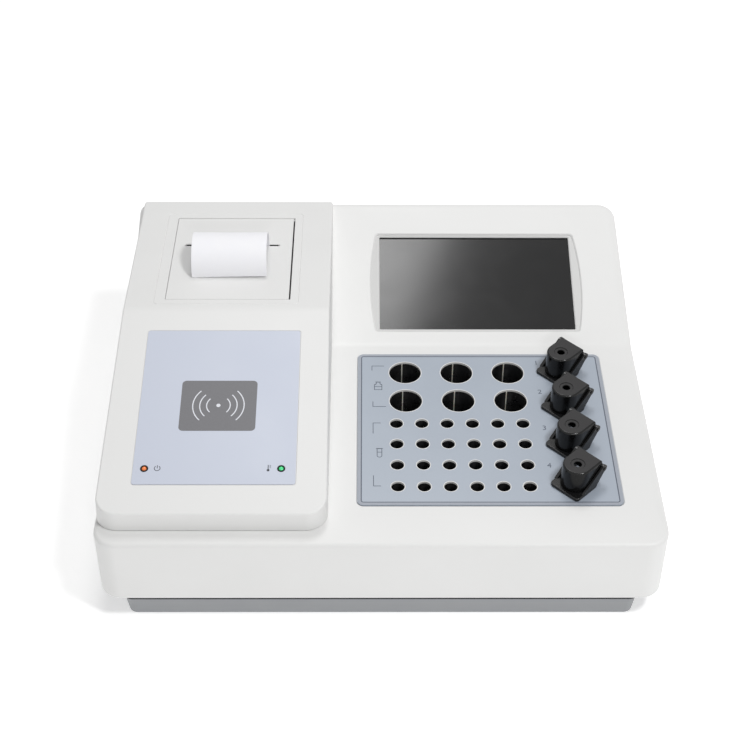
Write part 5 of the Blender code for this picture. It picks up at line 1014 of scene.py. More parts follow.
# %% Printer lid
SLOT_HALF = Vector((0.0747 / 2, 0.0020 / 2))
SLOT_FROM_REAR = 0.0386
LID_EDGE = 0.0004
SLOT_SHADE_THICKNESS = 0.0010
PIN_Y = LID_REAR - LID_THICKNESS / 2
SLOT_Y = PIN_Y + LID_THICKNESS / 2 - SLOT_FROM_REAR
SIDEWAYS = Matrix(((0, 0, 1, 0), (1, 0, 0, 0), (0, 1, 0, 0), (0, 0, 0, 1)))
LID_HINGE = Matrix.Translation((COVER_MIDDLE, PIN_Y, LID_PIN.z))


def lid_side_view(inset):
    """Lid seen from the side about its pins: a half round at the rear, eased corners in front."""
    half = LID_THICKNESS / 2 - inset
    front = LID_LOW.y - PIN_Y + inset
    turns = [-pi / 2 + pi * step / 20 for step in range(21)]
    eased = rounded([(front, half), (front, -half), (0, -half), (0, half)], [LID_EDGE, LID_EDGE, 0, 0], 3)
    return eased[:-2] + [(half * cos(turn), half * sin(turn)) for turn in turns]


lid_left = LID_SHIFT + LID_LEFT_GAP - LID_GAP - LID_HALF
lid_right = LID_SHIFT - LID_RIGHT_GAP + LID_GAP + LID_HALF
lid_layers = [(lid_side_view(LID_EDGE), lid_left), (lid_side_view(LID_EDGE / 3), lid_left + LID_EDGE / 3),
              (lid_side_view(0), lid_left + LID_EDGE), (lid_side_view(0), lid_right - LID_EDGE),
              (lid_side_view(LID_EDGE / 3), lid_right - LID_EDGE / 3), (lid_side_view(LID_EDGE), lid_right)]
lid = thing_of(stacked("lid_flap", lid_layers, LID_HINGE @ SIDEWAYS), WHITE_ABS)
slot_layers = []
for grow, height in ((0, -CUT_REACH), (0, -LID_EDGE), (LID_EDGE, 0), (2 * LID_EDGE, LID_EDGE)):
    slot_layers.append((rectangle(SLOT_HALF.x + grow, SLOT_HALF.y + grow, 0.0006, 3, (0, SLOT_Y)), height))
combine(lid, "DIFFERENCE", [stacked("paper_slot", slot_layers, TOP)])
pin = circle(LID_PIN_RADIUS, 20)
combine(lid, "UNION", [stacked("lid_pins", [(pin, -pin_reach), (pin, pin_reach)], LID_HINGE @ ALONG_X)])
install(lid, "lid", "white_abs", "printer_lid")
# A black strip in the far wall of the paper slot: painted shade inside the slot.
slot_shade_strip = rectangle(SLOT_HALF.x - SLOT_SHADE_THICKNESS, SLOT_SHADE_THICKNESS / 2, SLOT_SHADE_THICKNESS / 4, 2, (0, SLOT_Y + SLOT_HALF.y))
slot_shade_layers = [(slot_shade_strip, LID_EDGE - LID_THICKNESS), (slot_shade_strip, -LID_EDGE)]
install(thing_of(stacked("slot_shade_strip", slot_shade_layers, TOP), BLACK_ABS), "lid", "black_plastic")
print("lid turns about y", round(PIN_Y * 1000, 2), "mm")

# %% Curled paper
PAPER_HALF = 0.0576 / 2
PAPER_THICKNESS = 0.0003
CURL_RADIUS = 0.0222
CURL_STEPS = 64
PAPER_COLUMNS = 12
PAPER_LIFT = 0.0013
PAPER_MIDDLE = COVER_MIDDLE + 0.0006


def curl_point(step, across):
    """Point of the paper: up through the slot, then round; the free edge lifts towards the right."""
    centre = Vector((SLOT_Y - CURL_RADIUS, COVER_TOP + PAPER_THICKNESS))
    if step == 0:
        return (PAPER_MIDDLE + across * PAPER_HALF, SLOT_Y, COVER_TOP - LID_THICKNESS)
    end = pi - PAPER_LIFT * (1 + across) / 2 / CURL_RADIUS
    turn = end * (step - 1) / (CURL_STEPS - 1)
    radius = CURL_RADIUS - PAPER_THICKNESS * (1 + cos(3 * across)) / 4
    return (PAPER_MIDDLE + across * PAPER_HALF, centre.x + radius * cos(turn), centre.y + radius * sin(turn))


work = bmesh.new()
rows = [[work.verts.new(curl_point(step, 2 * column / PAPER_COLUMNS - 1)) for column in range(PAPER_COLUMNS + 1)]
        for step in range(CURL_STEPS + 1)]
for lower, upper in zip(rows, rows[1:]):
    for column in range(PAPER_COLUMNS):
        work.faces.new((lower[column], lower[column + 1], upper[column + 1], upper[column]))
paper = thing_of(mesh_of(work, "paper_tongue"), PAPER)
sheet = paper.modifiers.new("sheet", "SOLIDIFY")
sheet.thickness = PAPER_THICKNESS * 2 / 3
sheet.offset = 0
settle(paper)
install(paper, "lid", "paper", "paper_curl")
print("paper stands", round((max(v.co.z for v in paper.data.vertices) - COVER_TOP) * 1000, 1), "mm high")

# %% [markdown]
# Films and prints are flat, so a filled curve makes them: it takes an outline with any
# number of holes. Each ink lies 0.03 mm over the film below it, thin enough to look
# printed and thick enough for the renderer to keep the two apart.

# %% Flat plates and prints
INK_LIFT = 0.00003
LINE_HALF = 0.00025


def plate(name, loops, low, high, turn=None):
    """Flat outline with any holes, thick from low to high."""
    curve = bpy.data.curves.new(name, "CURVE")
    curve.dimensions = "2D"
    curve.fill_mode = "BOTH"
    curve.extrude = (high - low) / 2
    for loop in loops:
        spline = curve.splines.new("POLY")
        spline.points.add(len(loop) - 1)
        for point, (x, y) in zip(spline.points, loop):
            point.co = (x, y, 0, 1)
        spline.use_cyclic_u = True
    holder = bpy.data.objects.new(name, curve)
    flat = bpy.data.meshes.new_from_object(holder)
    bpy.data.objects.remove(holder)
    work = bmesh.new()
    work.from_mesh(flat)
    bpy.data.meshes.remove(flat)
    bpy.data.curves.remove(curve)
    bmesh.ops.remove_doubles(work, verts=work.verts, dist=1e-6)
    bmesh.ops.translate(work, verts=work.verts, vec=(0, 0, (low + high) / 2))
    return mesh_of(work, name, turn)


def printed(name, shapes, height, ink, turn, body="analyzer"):
    """Ink on a film: every shape is a list of loops, an outline and its holes."""
    work = bmesh.new()
    for number, loops in enumerate(shapes):
        mesh = plate(f"{name}_{number}", loops, height - INK_LIFT / 2, height + INK_LIFT, turn)
        work.from_mesh(mesh)
        bpy.data.meshes.remove(mesh)
    print_thing = thing_of(mesh_of(work, name), ink)
    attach(print_thing, body)
    return print_thing


def frame_loops(outline_at, inner, outer):
    """Outline and hole of a printed frame."""
    return [outline_at(outer), outline_at(inner)]


def line_loop(points, half=LINE_HALF):
    """Outline of a printed line through points."""
    left, right = [], []
    for index, point in enumerate(points):
        before, after = Vector(points[max(index - 1, 0)]), Vector(points[min(index + 1, len(points) - 1)])
        along = (after - before).normalized()
        side = Vector((-along.y, along.x)) * half
        left.append(tuple(Vector(point) + side))
        right.append(tuple(Vector(point) - side))
    return right + left[::-1]


def corner_loop(corner, across, up, half=LINE_HALF):
    """Outline of a right-angled bracket with one arm across and one arm up or down."""
    x, y = corner
    side = half if up > 0 else -half
    return [(x - half, y - side), (x + across, y - side), (x + across, y + side), (x + half, y + side),
            (x + half, y + up), (x - half, y + up)]


def arc_loop(middle, radius, start, end, half=LINE_HALF, steps=16):
    """Outline of a printed arc."""
    turns = [start + (end - start) * step / steps for step in range(steps + 1)]
    return line_loop([(middle[0] + radius * cos(turn), middle[1] + radius * sin(turn)) for turn in turns], half)


# %% [markdown]
# The card label marks where a contactless card is held. The field in the middle and
# its waves are the common sign for that. Plain pictograms stand beside the two lamps:
# the mains sign by the amber one and a thermometer by the green one.

# %% Card label
LABEL_TOP = PIECE_GAP / 3
PAD_HALF = Vector((0.0541 / 2, 0.0446 / 2))
PAD_MIDDLE = (0.0007, 0.0919)
PAD_RADIUS = 0.0032
WAVE_RADII = (0.0084, 0.0133, 0.0183)
WAVE_SPREAD = radians(45)
WAVE_HALF = 0.0004
DOT_RADIUS = 0.0015
SIGN_Y = LAMP_Y + 0.0002
SIGN_RADIUS = 0.0020
SIGN_SHIFT = 0.0090

label_loops = [label_outline(-PIECE_GAP)] + [circle(LAMP_RADIUS + PIECE_GAP, 32, place) for place in lamp_places]
label = thing_of(plate("label_card", label_loops, PIECE_GAP - LABEL_RECESS, LABEL_TOP, CARD), LABEL_FILM)
install(label, "analyzer", "label_film", "card_label")
pad = rectangle(PAD_HALF.x, PAD_HALF.y, PAD_RADIUS, 8, PAD_MIDDLE)
printed("card_field", [[pad]], LABEL_TOP + INK_LIFT, PAD_INK, CARD)
waves = [[circle(DOT_RADIUS, 32, PAD_MIDDLE)]]
for radius in WAVE_RADII:
    waves.append([arc_loop(PAD_MIDDLE, radius, -WAVE_SPREAD, WAVE_SPREAD, WAVE_HALF)])
    waves.append([arc_loop(PAD_MIDDLE, radius, pi - WAVE_SPREAD, pi + WAVE_SPREAD, WAVE_HALF)])
printed("card_waves", waves, LABEL_TOP + 3 * INK_LIFT, PALE_INK, CARD)
mains_place = (lamp_places[0][0] + SIGN_SHIFT, SIGN_Y)
mains = [[arc_loop(mains_place, SIGN_RADIUS, radians(125), radians(415))],
         [line_loop([mains_place, (mains_place[0], SIGN_Y + SIGN_RADIUS * 1.25)])]]
heat_x = lamp_places[1][0] - SIGN_SHIFT
heat = [[circle(SIGN_RADIUS / 2, 24, (heat_x, SIGN_Y - SIGN_RADIUS * 0.8))],
        [line_loop([(heat_x, SIGN_Y - SIGN_RADIUS * 0.8), (heat_x, SIGN_Y + SIGN_RADIUS * 1.4)], LINE_HALF * 1.2)]]
for mark in range(3):
    mark_y = SIGN_Y + SIGN_RADIUS * (0.2 + 0.5 * mark)
    heat.append([line_loop([(heat_x + SIGN_RADIUS * 0.45, mark_y), (heat_x + SIGN_RADIUS * 0.95, mark_y)],
                           LINE_HALF * 0.7)])
printed("lamp_signs", mains + heat, LABEL_TOP + INK_LIFT, BLACK_INK, CARD)
print("label", round(2 * LABEL_HALF.x * 1000, 1), "x", round(2 * LABEL_HALF.y * 1000, 1), "mm")

# %% [markdown]
# Lamp lenses are turned: a half profile spun about its axis. The dome is low, with a
# thin collar at its foot that sits in the label's hole.

# %% Lamp lenses
LAMP_RISE = 0.0008
LENS_RADIUS = 0.0016
LAMP_DEPTH = 0.0040
LAMP_SIDES = 40
DOME_STEPS = 8


def spun(name, profile, turn, sides=LAMP_SIDES):
    """Closed solid from a half profile of (radius, height) pairs, spun about Z; its ends lie on the axis."""
    work = bmesh.new()
    rings = [[(radius * cos(2 * pi * side / sides), radius * sin(2 * pi * side / sides), height)
              for side in range(sides)] for radius, height in profile[1:-1]]
    rows = skin(work, rings)
    for (_, height), row in ((profile[0], rows[0]), (profile[-1], rows[-1])):
        tip = work.verts.new((0, 0, height))
        for index, vert in enumerate(row):
            work.faces.new((vert, row[(index + 1) % sides], tip))
    return mesh_of(work, name, turn)


dome = [(LENS_RADIUS * sin(pi / 2 * step / DOME_STEPS), LAMP_RISE * cos(pi / 2 * step / DOME_STEPS))
        for step in range(DOME_STEPS + 1)]
collar = [(LAMP_RADIUS, -LAMP_DEPTH / 2), (LAMP_RADIUS, LAMP_RISE / 2), (LAMP_RADIUS - EDGE_LEAST, LAMP_RISE),
          (LENS_RADIUS + EDGE_LEAST, LAMP_RISE / 2), (LENS_RADIUS + EDGE_LEAST / 4, -LAMP_DEPTH / 2)]
for name, place, lens, slot in (("amber_lens", lamp_places[0], AMBER_LENS, "amber"),
                                ("green_lens", lamp_places[1], GREEN_LENS, "green")):
    turn = CARD @ Matrix.Translation((*place, 0))
    lamp = thing_of(spun(name, dome + [(LENS_RADIUS, -LAMP_DEPTH), (0, -LAMP_DEPTH)], turn), lens)
    install(lamp, "analyzer", slot, "power_lamp" if slot == "amber" else "heat_lamp")
    rings = [[(x, y, height) for x, y in circle(radius, LAMP_SIDES)] for radius, height in collar]
    ring = looped(f"{slot}_collar", rings)
    ring.transform(turn)
    install(thing_of(ring, BLACK_ABS), "analyzer", "black_plastic")
print("lamps", round(2 * LAMP_RADIUS * 1000, 1), "mm wide")

# %% [markdown]
# The film of the well panel is one sheet with a hole for every well. A band round its
# edge is printed a little darker, inside a thin line. Brackets group the wells. Words
# on such a panel would name what goes where. Plain pictograms do it here: a bottle for
# the reagents, a tube for the samples, and a number for each channel.

# %% Well panel film
PANEL_TOP = 0.0005
FILM_THICKNESS = 0.0011
REAGENT_RADIUS = 0.0123
SAMPLE_RADIUS = 0.0050
REAGENT_PITCH = Vector((0.03915, 0.0318))
SAMPLE_PITCH = Vector((0.0186, 0.02156))
REAGENT_Y = 0.0430
SAMPLE_Y = -0.0301
BAND_WIDTH = 0.0024


def well_grid(columns, rows, pitch, middle_y):
    """Rows of well places on the panel."""
    xs = [WELLS_SHIFT_X + (column - (columns - 1) / 2) * pitch.x for column in range(columns)]
    ys = [middle_y + (row - (rows - 1) / 2) * pitch.y for row in range(rows)]
    return [[(x, y) for x in xs] for y in ys]


def film_outline(grow):
    """Outline of the film."""
    return rectangle(PANEL_HALF.x + grow, PANEL_HALF.y + grow, PANEL_RADIUS + grow, 10)


REAGENT_WELLS = well_grid(3, 2, REAGENT_PITCH, REAGENT_Y)
SAMPLE_WELLS = well_grid(6, 4, SAMPLE_PITCH, SAMPLE_Y)
holes = [circle(REAGENT_RADIUS, 72, place) for row in REAGENT_WELLS for place in row]
holes += [circle(SAMPLE_RADIUS, 48, place) for row in SAMPLE_WELLS for place in row]
holes += [circle(SOCKET_RADIUS + PIECE_GAP, 40, (CHANNEL_X, y)) for y in CHANNEL_ROWS]
film = plate("panel_film", [film_outline(0)] + holes, PANEL_TOP - FILM_THICKNESS, PANEL_TOP, PANEL)
film = thing_of(film, PANEL_FILM)
install(film, "analyzer", "panel_film", "well_panel")
printed("panel_band", [frame_loops(film_outline, -BAND_WIDTH, -0.0002)], PANEL_TOP + INK_LIFT, BORDER_INK, PANEL)
line_frame = [frame_loops(film_outline, -BAND_WIDTH - 3 * LINE_HALF, -BAND_WIDTH)]
printed("panel_line", line_frame, PANEL_TOP + INK_LIFT, DARK_INK, PANEL)
print("film with", len(holes), "holes")

# %% Signs on the well panel
BRACKETS = [((-0.0821, 0.0666), 0.0092, -0.0052), ((-0.0815, 0.0207), 0.0097, 0.0055),
            ((-0.0815, 0.0028), 0.0055, -0.0112), ((-0.0814, -0.0619), 0.0052, 0.0104)]
BOTTLE_PLACE = (-0.0775, 0.0437)
TUBE_PLACE = (-0.0770, -0.0285)
DIGIT_HEIGHT = 0.0046
DIGIT_PLACES = [(0.0440, -0.0416), (0.0440, -0.0026), (0.0440, 0.0369), (0.0440, 0.0702)]


def outlined(outline_at, half=LINE_HALF):
    """Outline and hole of a drawn line round a shape."""
    return [outline_at(half), outline_at(-half)]


def bottle(grow):
    """Side view of a reagent bottle."""
    x, y = BOTTLE_PLACE
    points = [(x - 0.0028, y - 0.0042), (x + 0.0028, y - 0.0042), (x + 0.0028, y + 0.0012), (x + 0.0014, y + 0.0024),
              (x + 0.0014, y + 0.0042), (x - 0.0014, y + 0.0042), (x - 0.0014, y + 0.0024), (x - 0.0028, y + 0.0012)]
    middle = Vector((x, y))
    scaled = []
    for point in points:
        away = Vector(point) - middle
        scaled.append(tuple(middle + Vector((away.x + grow * (1 if away.x > 0 else -1),
                                             away.y + grow * (1 if away.y > 0 else -1)))))
    return scaled


def tube(grow):
    """Side view of a sample tube with a round end."""
    x, y = TUBE_PLACE
    return rounded([(x - 0.0017 - grow, y - 0.0045 - grow), (x + 0.0017 + grow, y - 0.0045 - grow),
                    (x + 0.0017 + grow, y + 0.0042 + grow), (x - 0.0017 - grow, y + 0.0042 + grow)],
                   [0.0016 + grow, 0.0016 + grow, 0, 0], 8)


def level(place, half_width, height):
    """Short line that shows a liquid's level, or a rim."""
    x, y = place
    return [line_loop([(x - half_width, y + height), (x + half_width, y + height)])]


signs = [[corner_loop(*bracket)] for bracket in BRACKETS]
signs += [outlined(bottle), level(BOTTLE_PLACE, 0.0026, -0.0008), level(BOTTLE_PLACE, 0.0021, 0.0045)]
signs += [outlined(tube), level(TUBE_PLACE, 0.0015, 0.0006), level(TUBE_PLACE, 0.0025, 0.0044)]
printed("panel_signs", signs, PANEL_TOP + INK_LIFT, DARK_INK, PANEL)


def digit(number, place):
    """Number printed beside a channel."""
    text = bpy.data.curves.new(f"digit_{number}", "FONT")
    text.body = str(number)
    text.size = DIGIT_HEIGHT / 0.7
    text.align_x = "CENTER"
    text.align_y = "CENTER"
    text.extrude = INK_LIFT
    holder = bpy.data.objects.new(text.name, text)
    mesh = bpy.data.meshes.new_from_object(holder)
    bpy.data.objects.remove(holder)
    mesh.name = f"channel_number_{number}"
    mesh.transform(PANEL @ Matrix.Translation((*place, PANEL_TOP + INK_LIFT / 2)))
    number_thing = thing_of(mesh, DARK_INK)
    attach(number_thing, "analyzer")


for number, place in zip(range(len(DIGIT_PLACES), 0, -1), DIGIT_PLACES):
    digit(number, place)
print(len(signs), "signs and", len(DIGIT_PLACES), "numbers")

# %% [markdown]
# Below the film lie six bars of black anodised aluminium that a heater keeps at body
# temperature. Each well is bored with a round-ended cutter. A pale nylon bush lines
# each mouth, to guide the cup in and keep the film's edge whole. From the front only
# the far side of each bush shows, as a pale crescent.

# %% Well bars and their bushes
BAR_TOP = -0.0010
BAR_HEIGHT = 0.0450
BUSH_WALL = 0.0002
BUSH_FLANGE = 0.0004
BUSH_RISE = 0.0001
BUSH_DEPTH = 0.0016
# Place and size of the pale strips that paint the highlight streak in each reagent bore.
STREAK_TURN = radians(100)
STREAK_WIDTH = 0.0009
STREAK_PROUD = 0.0004
REAGENT_DEPTH = 0.0400
SAMPLE_DEPTH = 0.0380
BORE_ROUND = 0.0020


def well_bar(name, row, radius, depth, length, sides):
    """Bar with a round-ended bore at each place of its row."""
    outline = rectangle(BAR_HALF_WIDTH, length / 2, 0.0006, 3, (WELLS_SHIFT_X, row[0][1]))
    bar = thing_of(stacked(f"{name}_block", [(outline, BAR_TOP - BAR_HEIGHT), (outline, BAR_TOP)], PANEL), ANODISED)
    floor = BAR_TOP - depth
    work = bmesh.new()
    for place in row:
        layers = [(circle(radius - BORE_ROUND * (1 - sin(turn)), sides, place), floor + BORE_ROUND * (1 - cos(turn)))
                  for turn in (0, pi / 6, pi / 3, pi / 2)]
        mesh = stacked("bore", layers + [(circle(radius, sides, place), CUT_REACH)], PANEL)
        work.from_mesh(mesh)
        bpy.data.meshes.remove(mesh)
    combine(bar, "DIFFERENCE", [mesh_of(work, "bores")])
    return install(bar, "analyzer", "black_anodised", name)


def bushes(name, rows, radius, sides):
    """Pale ring in the mouth of every well of some rows."""
    work = bmesh.new()
    for place in [place for row in rows for place in row]:
        outer, inner, edge = radius - INK_LIFT, radius - BUSH_WALL, radius + BUSH_FLANGE
        top = PANEL_TOP + BUSH_RISE
        profile = [(outer, PANEL_TOP - BUSH_DEPTH), (outer, PANEL_TOP + INK_LIFT), (edge, PANEL_TOP + INK_LIFT),
                   (edge - BUSH_RISE, top), (inner + BUSH_RISE, top), (inner, top - BUSH_RISE),
                   (inner, PANEL_TOP - BUSH_DEPTH)]
        rings = [[(x, y, height) for x, y in circle(reach, sides, place)] for reach, height in profile]
        mesh = looped("bush", rings)
        mesh.transform(PANEL)
        work.from_mesh(mesh)
        bpy.data.meshes.remove(mesh)
    return install(thing_of(mesh_of(work, name), WHITE_ABS), "analyzer", "nylon")


def guide_ribs(name, rows, radius, depth):
    """Pale upright strip on the far wall of every well: a painted highlight, the streak of light down the bore."""
    work = bmesh.new()
    for place in [place for row in rows for place in row]:
        outline = rectangle(STREAK_PROUD, STREAK_WIDTH / 2, STREAK_PROUD / 2, 3)
        stand = Matrix.Translation((*place, 0)) @ Matrix.Rotation(STREAK_TURN, 4, "Z") @ Matrix.Translation((radius, 0, 0))
        mesh = stacked("rib", [(outline, BAR_TOP - depth), (outline, PANEL_TOP - BUSH_DEPTH)], PANEL @ stand)
        work.from_mesh(mesh)
        bpy.data.meshes.remove(mesh)
    return install(thing_of(mesh_of(work, name), NYLON), "analyzer", "nylon")


for number, row in enumerate(REAGENT_WELLS, 1):
    well_bar(f"reagent_bar_{number}", row, REAGENT_RADIUS, REAGENT_DEPTH, 0.0288, 72)
for number, row in enumerate(SAMPLE_WELLS, 1):
    well_bar(f"sample_bar_{number}", row, SAMPLE_RADIUS, SAMPLE_DEPTH, 0.0200, 48)
bushes("reagent_bushes", REAGENT_WELLS, REAGENT_RADIUS, 72)
bushes("sample_bushes", SAMPLE_WELLS, SAMPLE_RADIUS, 48)
# Pale strips in the reagent bores: painted highlights, the streak of light down each bore.
guide_ribs("painted_bore_highlights", REAGENT_WELLS, REAGENT_RADIUS, REAGENT_DEPTH)
print("wells", len(holes) - len(CHANNEL_ROWS))

# %% [markdown]
# Each measuring channel has a base that carries the cuvette socket and two ears, and a
# cap that keeps room light away from the detector. The cap is a half round in front,
# square at its hinge, and hollow. Its rounded top edge catches the key light. A ring is
# sunk round the hole through which the reagent is pipetted.

# %% Channel bases
PLATE_FRONT = 0.0135
PLATE_REAR = 0.0100
PLATE_HALF_WIDTH = 0.0126
PLATE_THICKNESS = 0.0025
PLATE_RADIUS = 0.0030
PLATE_ROUND = 0.0006
EAR_THICKNESS = 0.0014
EAR_SETBACK = 0.0001
EAR_OUTER = 0.0008
EAR_FRONT = 0.0070
EAR_BOSS_RADIUS = 0.0030
WING_BOSS_RADIUS = 0.0042
EAR_ARC_START = radians(120)
EAR_ARC_SWEEP = radians(-205)
HINGE_REACH = 0.0148
HINGE_HEIGHT = 0.0134
CAP_PIN_RADIUS = 0.0010
SOCKET_DEPTH = 0.0320
CUVETTE_RADIUS = 0.0046
CUVETTE_DEPTH = 0.0270
UPENDED = Matrix.Rotation(pi / 2, 4, "X")
ALONG_Y = Matrix.Rotation(-pi / 2, 4, "X")


def channel_frame(y):
    """Frame of one channel on the film, with X towards the hinge."""
    return PANEL @ Matrix.Translation((CHANNEL_X, y, PANEL_TOP)) @ Matrix.Rotation(CHANNEL_TURN, 4, "Z")


def base_outline(inset):
    """Plan of a channel base."""
    middle = ((PLATE_REAR - PLATE_FRONT) / 2, 0)
    return rectangle((PLATE_REAR + PLATE_FRONT) / 2 - inset, PLATE_HALF_WIDTH - inset, PLATE_RADIUS - inset, 8, middle)


def ear_outline(radius):
    """Side view of an ear: a web that climbs to a round boss at the hinge."""
    turns = [EAR_ARC_START + EAR_ARC_SWEEP * step / 24 for step in range(25)]
    boss = [(HINGE_REACH + radius * cos(turn), HINGE_HEIGHT + radius * sin(turn)) for turn in turns]
    foot = PLATE_REAR - PLATE_RADIUS / 2
    return [(-EAR_FRONT, PLATE_THICKNESS / 2), (-EAR_FRONT, PLATE_THICKNESS)] + boss \
        + [(foot, PLATE_THICKNESS), (foot, PLATE_THICKNESS / 2)]


def ear(name, low, high, radius, turn):
    """One ear with eased edges."""
    blank = thing_of(plate(name, [ear_outline(radius)], low, high, turn @ UPENDED))
    bevelled(blank, 0.0002, 2, radians(60))
    mesh = blank.data.copy()
    bpy.data.objects.remove(blank)
    return mesh


def channel_base(number, turn):
    """Base plate, socket and ears of one channel."""
    steps = [(base_outline(0), PIECE_GAP)]
    for step in range(4):
        share = pi / 2 * step / 3
        steps.append((base_outline(PLATE_ROUND * (1 - cos(share))), PLATE_THICKNESS - PLATE_ROUND * (1 - sin(share))))
    base = thing_of(stacked(f"channel_{number}_seat", steps, turn), BLACK_ABS)
    socket = circle(SOCKET_RADIUS, 40)
    bore = circle(CUVETTE_RADIUS, 40)
    pin_bore = circle(CAP_PIN_RADIUS + PIECE_GAP, 24)
    hinge = turn @ Matrix.Translation((HINGE_REACH, 0, HINGE_HEIGHT)) @ ALONG_Y
    inner = PLATE_HALF_WIDTH - EAR_THICKNESS - EAR_SETBACK
    tools = [stacked("socket", [(socket, -SOCKET_DEPTH), (socket, PLATE_THICKNESS / 2)], turn),
             ear("ear_left", inner, PLATE_HALF_WIDTH - EAR_SETBACK, EAR_BOSS_RADIUS, turn),
             ear("ear_right", EAR_SETBACK - PLATE_HALF_WIDTH - EAR_OUTER, -inner, WING_BOSS_RADIUS, turn)]
    combine(base, "UNION", tools)
    reach = PLATE_HALF_WIDTH + EAR_OUTER + CUT_REACH
    combine(base, "DIFFERENCE", [
        stacked("cuvette_bore", [(bore, PLATE_THICKNESS - CUVETTE_DEPTH), (bore, CUT_REACH)], turn),
        stacked("pin_bore", [(pin_bore, -reach), (pin_bore, reach)], hinge)])
    return install(base, "analyzer", "black_plastic", f"channel_base_{number}")


for number, y in enumerate(CHANNEL_ROWS, 1):
    channel_base(number, channel_frame(y))
print("channel bases", len(CHANNEL_ROWS))

# %% Light caps
CAP_RADIUS = 0.0105
CAP_END = 0.0145
CAP_BOTTOM = PLATE_THICKNESS + PIECE_GAP
CAP_TOP = 0.0202
CAP_WALL = 0.0014
CAP_TOP_THICKNESS = 0.0018
CAP_DRAFT = 0.0004
CAP_EDGE = 0.0014
CAP_CORNER = 0.0008
CAP_HOLE_RADIUS = 0.0027
CAP_RING_RADIUS = 0.0052
CAP_RING_DEPTH = 0.0005
KNUCKLE_RADIUS = 0.0026
CAP_STEPS = 32


def cap_outline(inset):
    """Plan of a cap: a half round at the front, two small corners at the hinge end."""
    radius, end = CAP_RADIUS - inset, CAP_END - inset
    corner = max(CAP_CORNER - inset, 0.0003)
    turns = [pi / 2 + pi * step / CAP_STEPS for step in range(CAP_STEPS + 1)]
    square = rounded([(0, -radius), (end, -radius), (end, radius), (0, radius)], [0, corner, corner, 0], 5)
    return [(radius * cos(turn), radius * sin(turn)) for turn in turns] + square[1:-1]


def cap_layers():
    """Layers of a cap from its foot, up its drafted side and over its rounded top edge."""
    layers = [(cap_outline(CAP_EDGE / 4 - CAP_DRAFT), CAP_BOTTOM), (cap_outline(-CAP_DRAFT), CAP_BOTTOM + CAP_EDGE / 4)]
    for step in range(EDGE_STEPS + 1):
        share = pi / 2 * step / EDGE_STEPS
        layers.append((cap_outline(CAP_EDGE * (1 - cos(share))), CAP_TOP - CAP_EDGE * (1 - sin(share))))
    return layers


def light_cap(number, turn):
    """One cap with its hollow, its knuckle, its sunk ring and its pipetting hole."""
    cap = thing_of(stacked(f"channel_{number}_lid", cap_layers(), turn), CAP_ABS)
    hollow = [(cap_outline(CAP_WALL - CAP_DRAFT), CAP_BOTTOM - CUT_REACH),
              (cap_outline(CAP_WALL), CAP_TOP - CAP_TOP_THICKNESS)]
    combine(cap, "DIFFERENCE", [stacked("cap_hollow", hollow, turn)])
    hinge = turn @ Matrix.Translation((HINGE_REACH, 0, HINGE_HEIGHT)) @ ALONG_Y
    knuckle, pin_bore = circle(KNUCKLE_RADIUS, 32), circle(CAP_PIN_RADIUS + PIECE_GAP, 24)
    half = PLATE_HALF_WIDTH - EAR_THICKNESS - PIECE_GAP
    combine(cap, "UNION", [stacked("knuckle", [(knuckle, -half), (knuckle, half)], hinge)])
    reach = half + CUT_REACH
    ring = [(circle(CAP_RING_RADIUS - CAP_RING_DEPTH, 48), CAP_TOP - CAP_RING_DEPTH),
            (circle(CAP_RING_RADIUS, 48), CAP_TOP), (circle(CAP_RING_RADIUS + CAP_RING_DEPTH, 48), CAP_TOP + CAP_RING_DEPTH)]
    lip = CAP_TOP - CAP_RING_DEPTH
    hole = [(circle(CAP_HOLE_RADIUS, 40), CAP_TOP - CUT_REACH / 2), (circle(CAP_HOLE_RADIUS, 40), lip - EDGE_LEAST),
            (circle(CAP_HOLE_RADIUS + CAP_EDGE, 40), lip + CAP_EDGE - EDGE_LEAST)]
    combine(cap, "DIFFERENCE", [stacked("pin_bore", [(pin_bore, -reach), (pin_bore, reach)], hinge),
                                stacked("sunk_ring", ring, turn), stacked("pipette_hole", hole, turn)])
    return install(cap, f"light_cap_{number}", "black_plastic", f"channel_cap_{number}")


for number, y in enumerate(CHANNEL_ROWS, 1):
    light_cap(number, channel_frame(y))
print("caps", round(CAP_TOP * 1000, 1), "mm high over the film")

# %% [markdown]
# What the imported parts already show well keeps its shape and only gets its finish: the
# pan, the feet, the screws, the display, the printer's works and the rear connectors.
# The record names a finish for each part, and one table turns that into a material.

# %% Finishes of the remaining parts
FINISH_OF = {
    "white_abs": WHITE_ABS, "grey_paint": POWDER_COAT, "rubber": RUBBER, "label_film": LABEL_FILM,
    "panel_film": PANEL_FILM, "black_plastic": BLACK_ABS, "black_anodised": ANODISED,
    "aluminium": MILLED_ALUMINIUM, "steel": ZINC, "board": BOARD, "silicone": SILICONE, "glass": GLASS,
    "amber": AMBER_LENS, "green": GREEN_LENS, "paper": PAPER, "nylon": NYLON, "grey_plastic": GREY_ABS,
}
OWN_FINISH = {"mechanism_frame": STEEL_SHEET, "printer_bay": BLACK_ABS}
for number in range(1, len(CHANNEL_ROWS) + 1):
    OWN_FINISH[f"cap_pin_{number}"] = BLACK_ABS
for part in frame["record"]["subparts"]:
    node = NODES[part["node"]]
    finish = OWN_FINISH.get(part["node"], FINISH_OF[part["material_slot"]])
    for place in node.material_slots:
        place.material = finish

# %% [markdown]
# The stage is a pale floor under an even white room. A camera ray sees white, and so do
# reflections, while the object gets a plain level of light from the same room and a
# large soft lamp at the front right. The floor adds a little light of its own towards
# the camera, so that only the object's contact shadow is left on it.

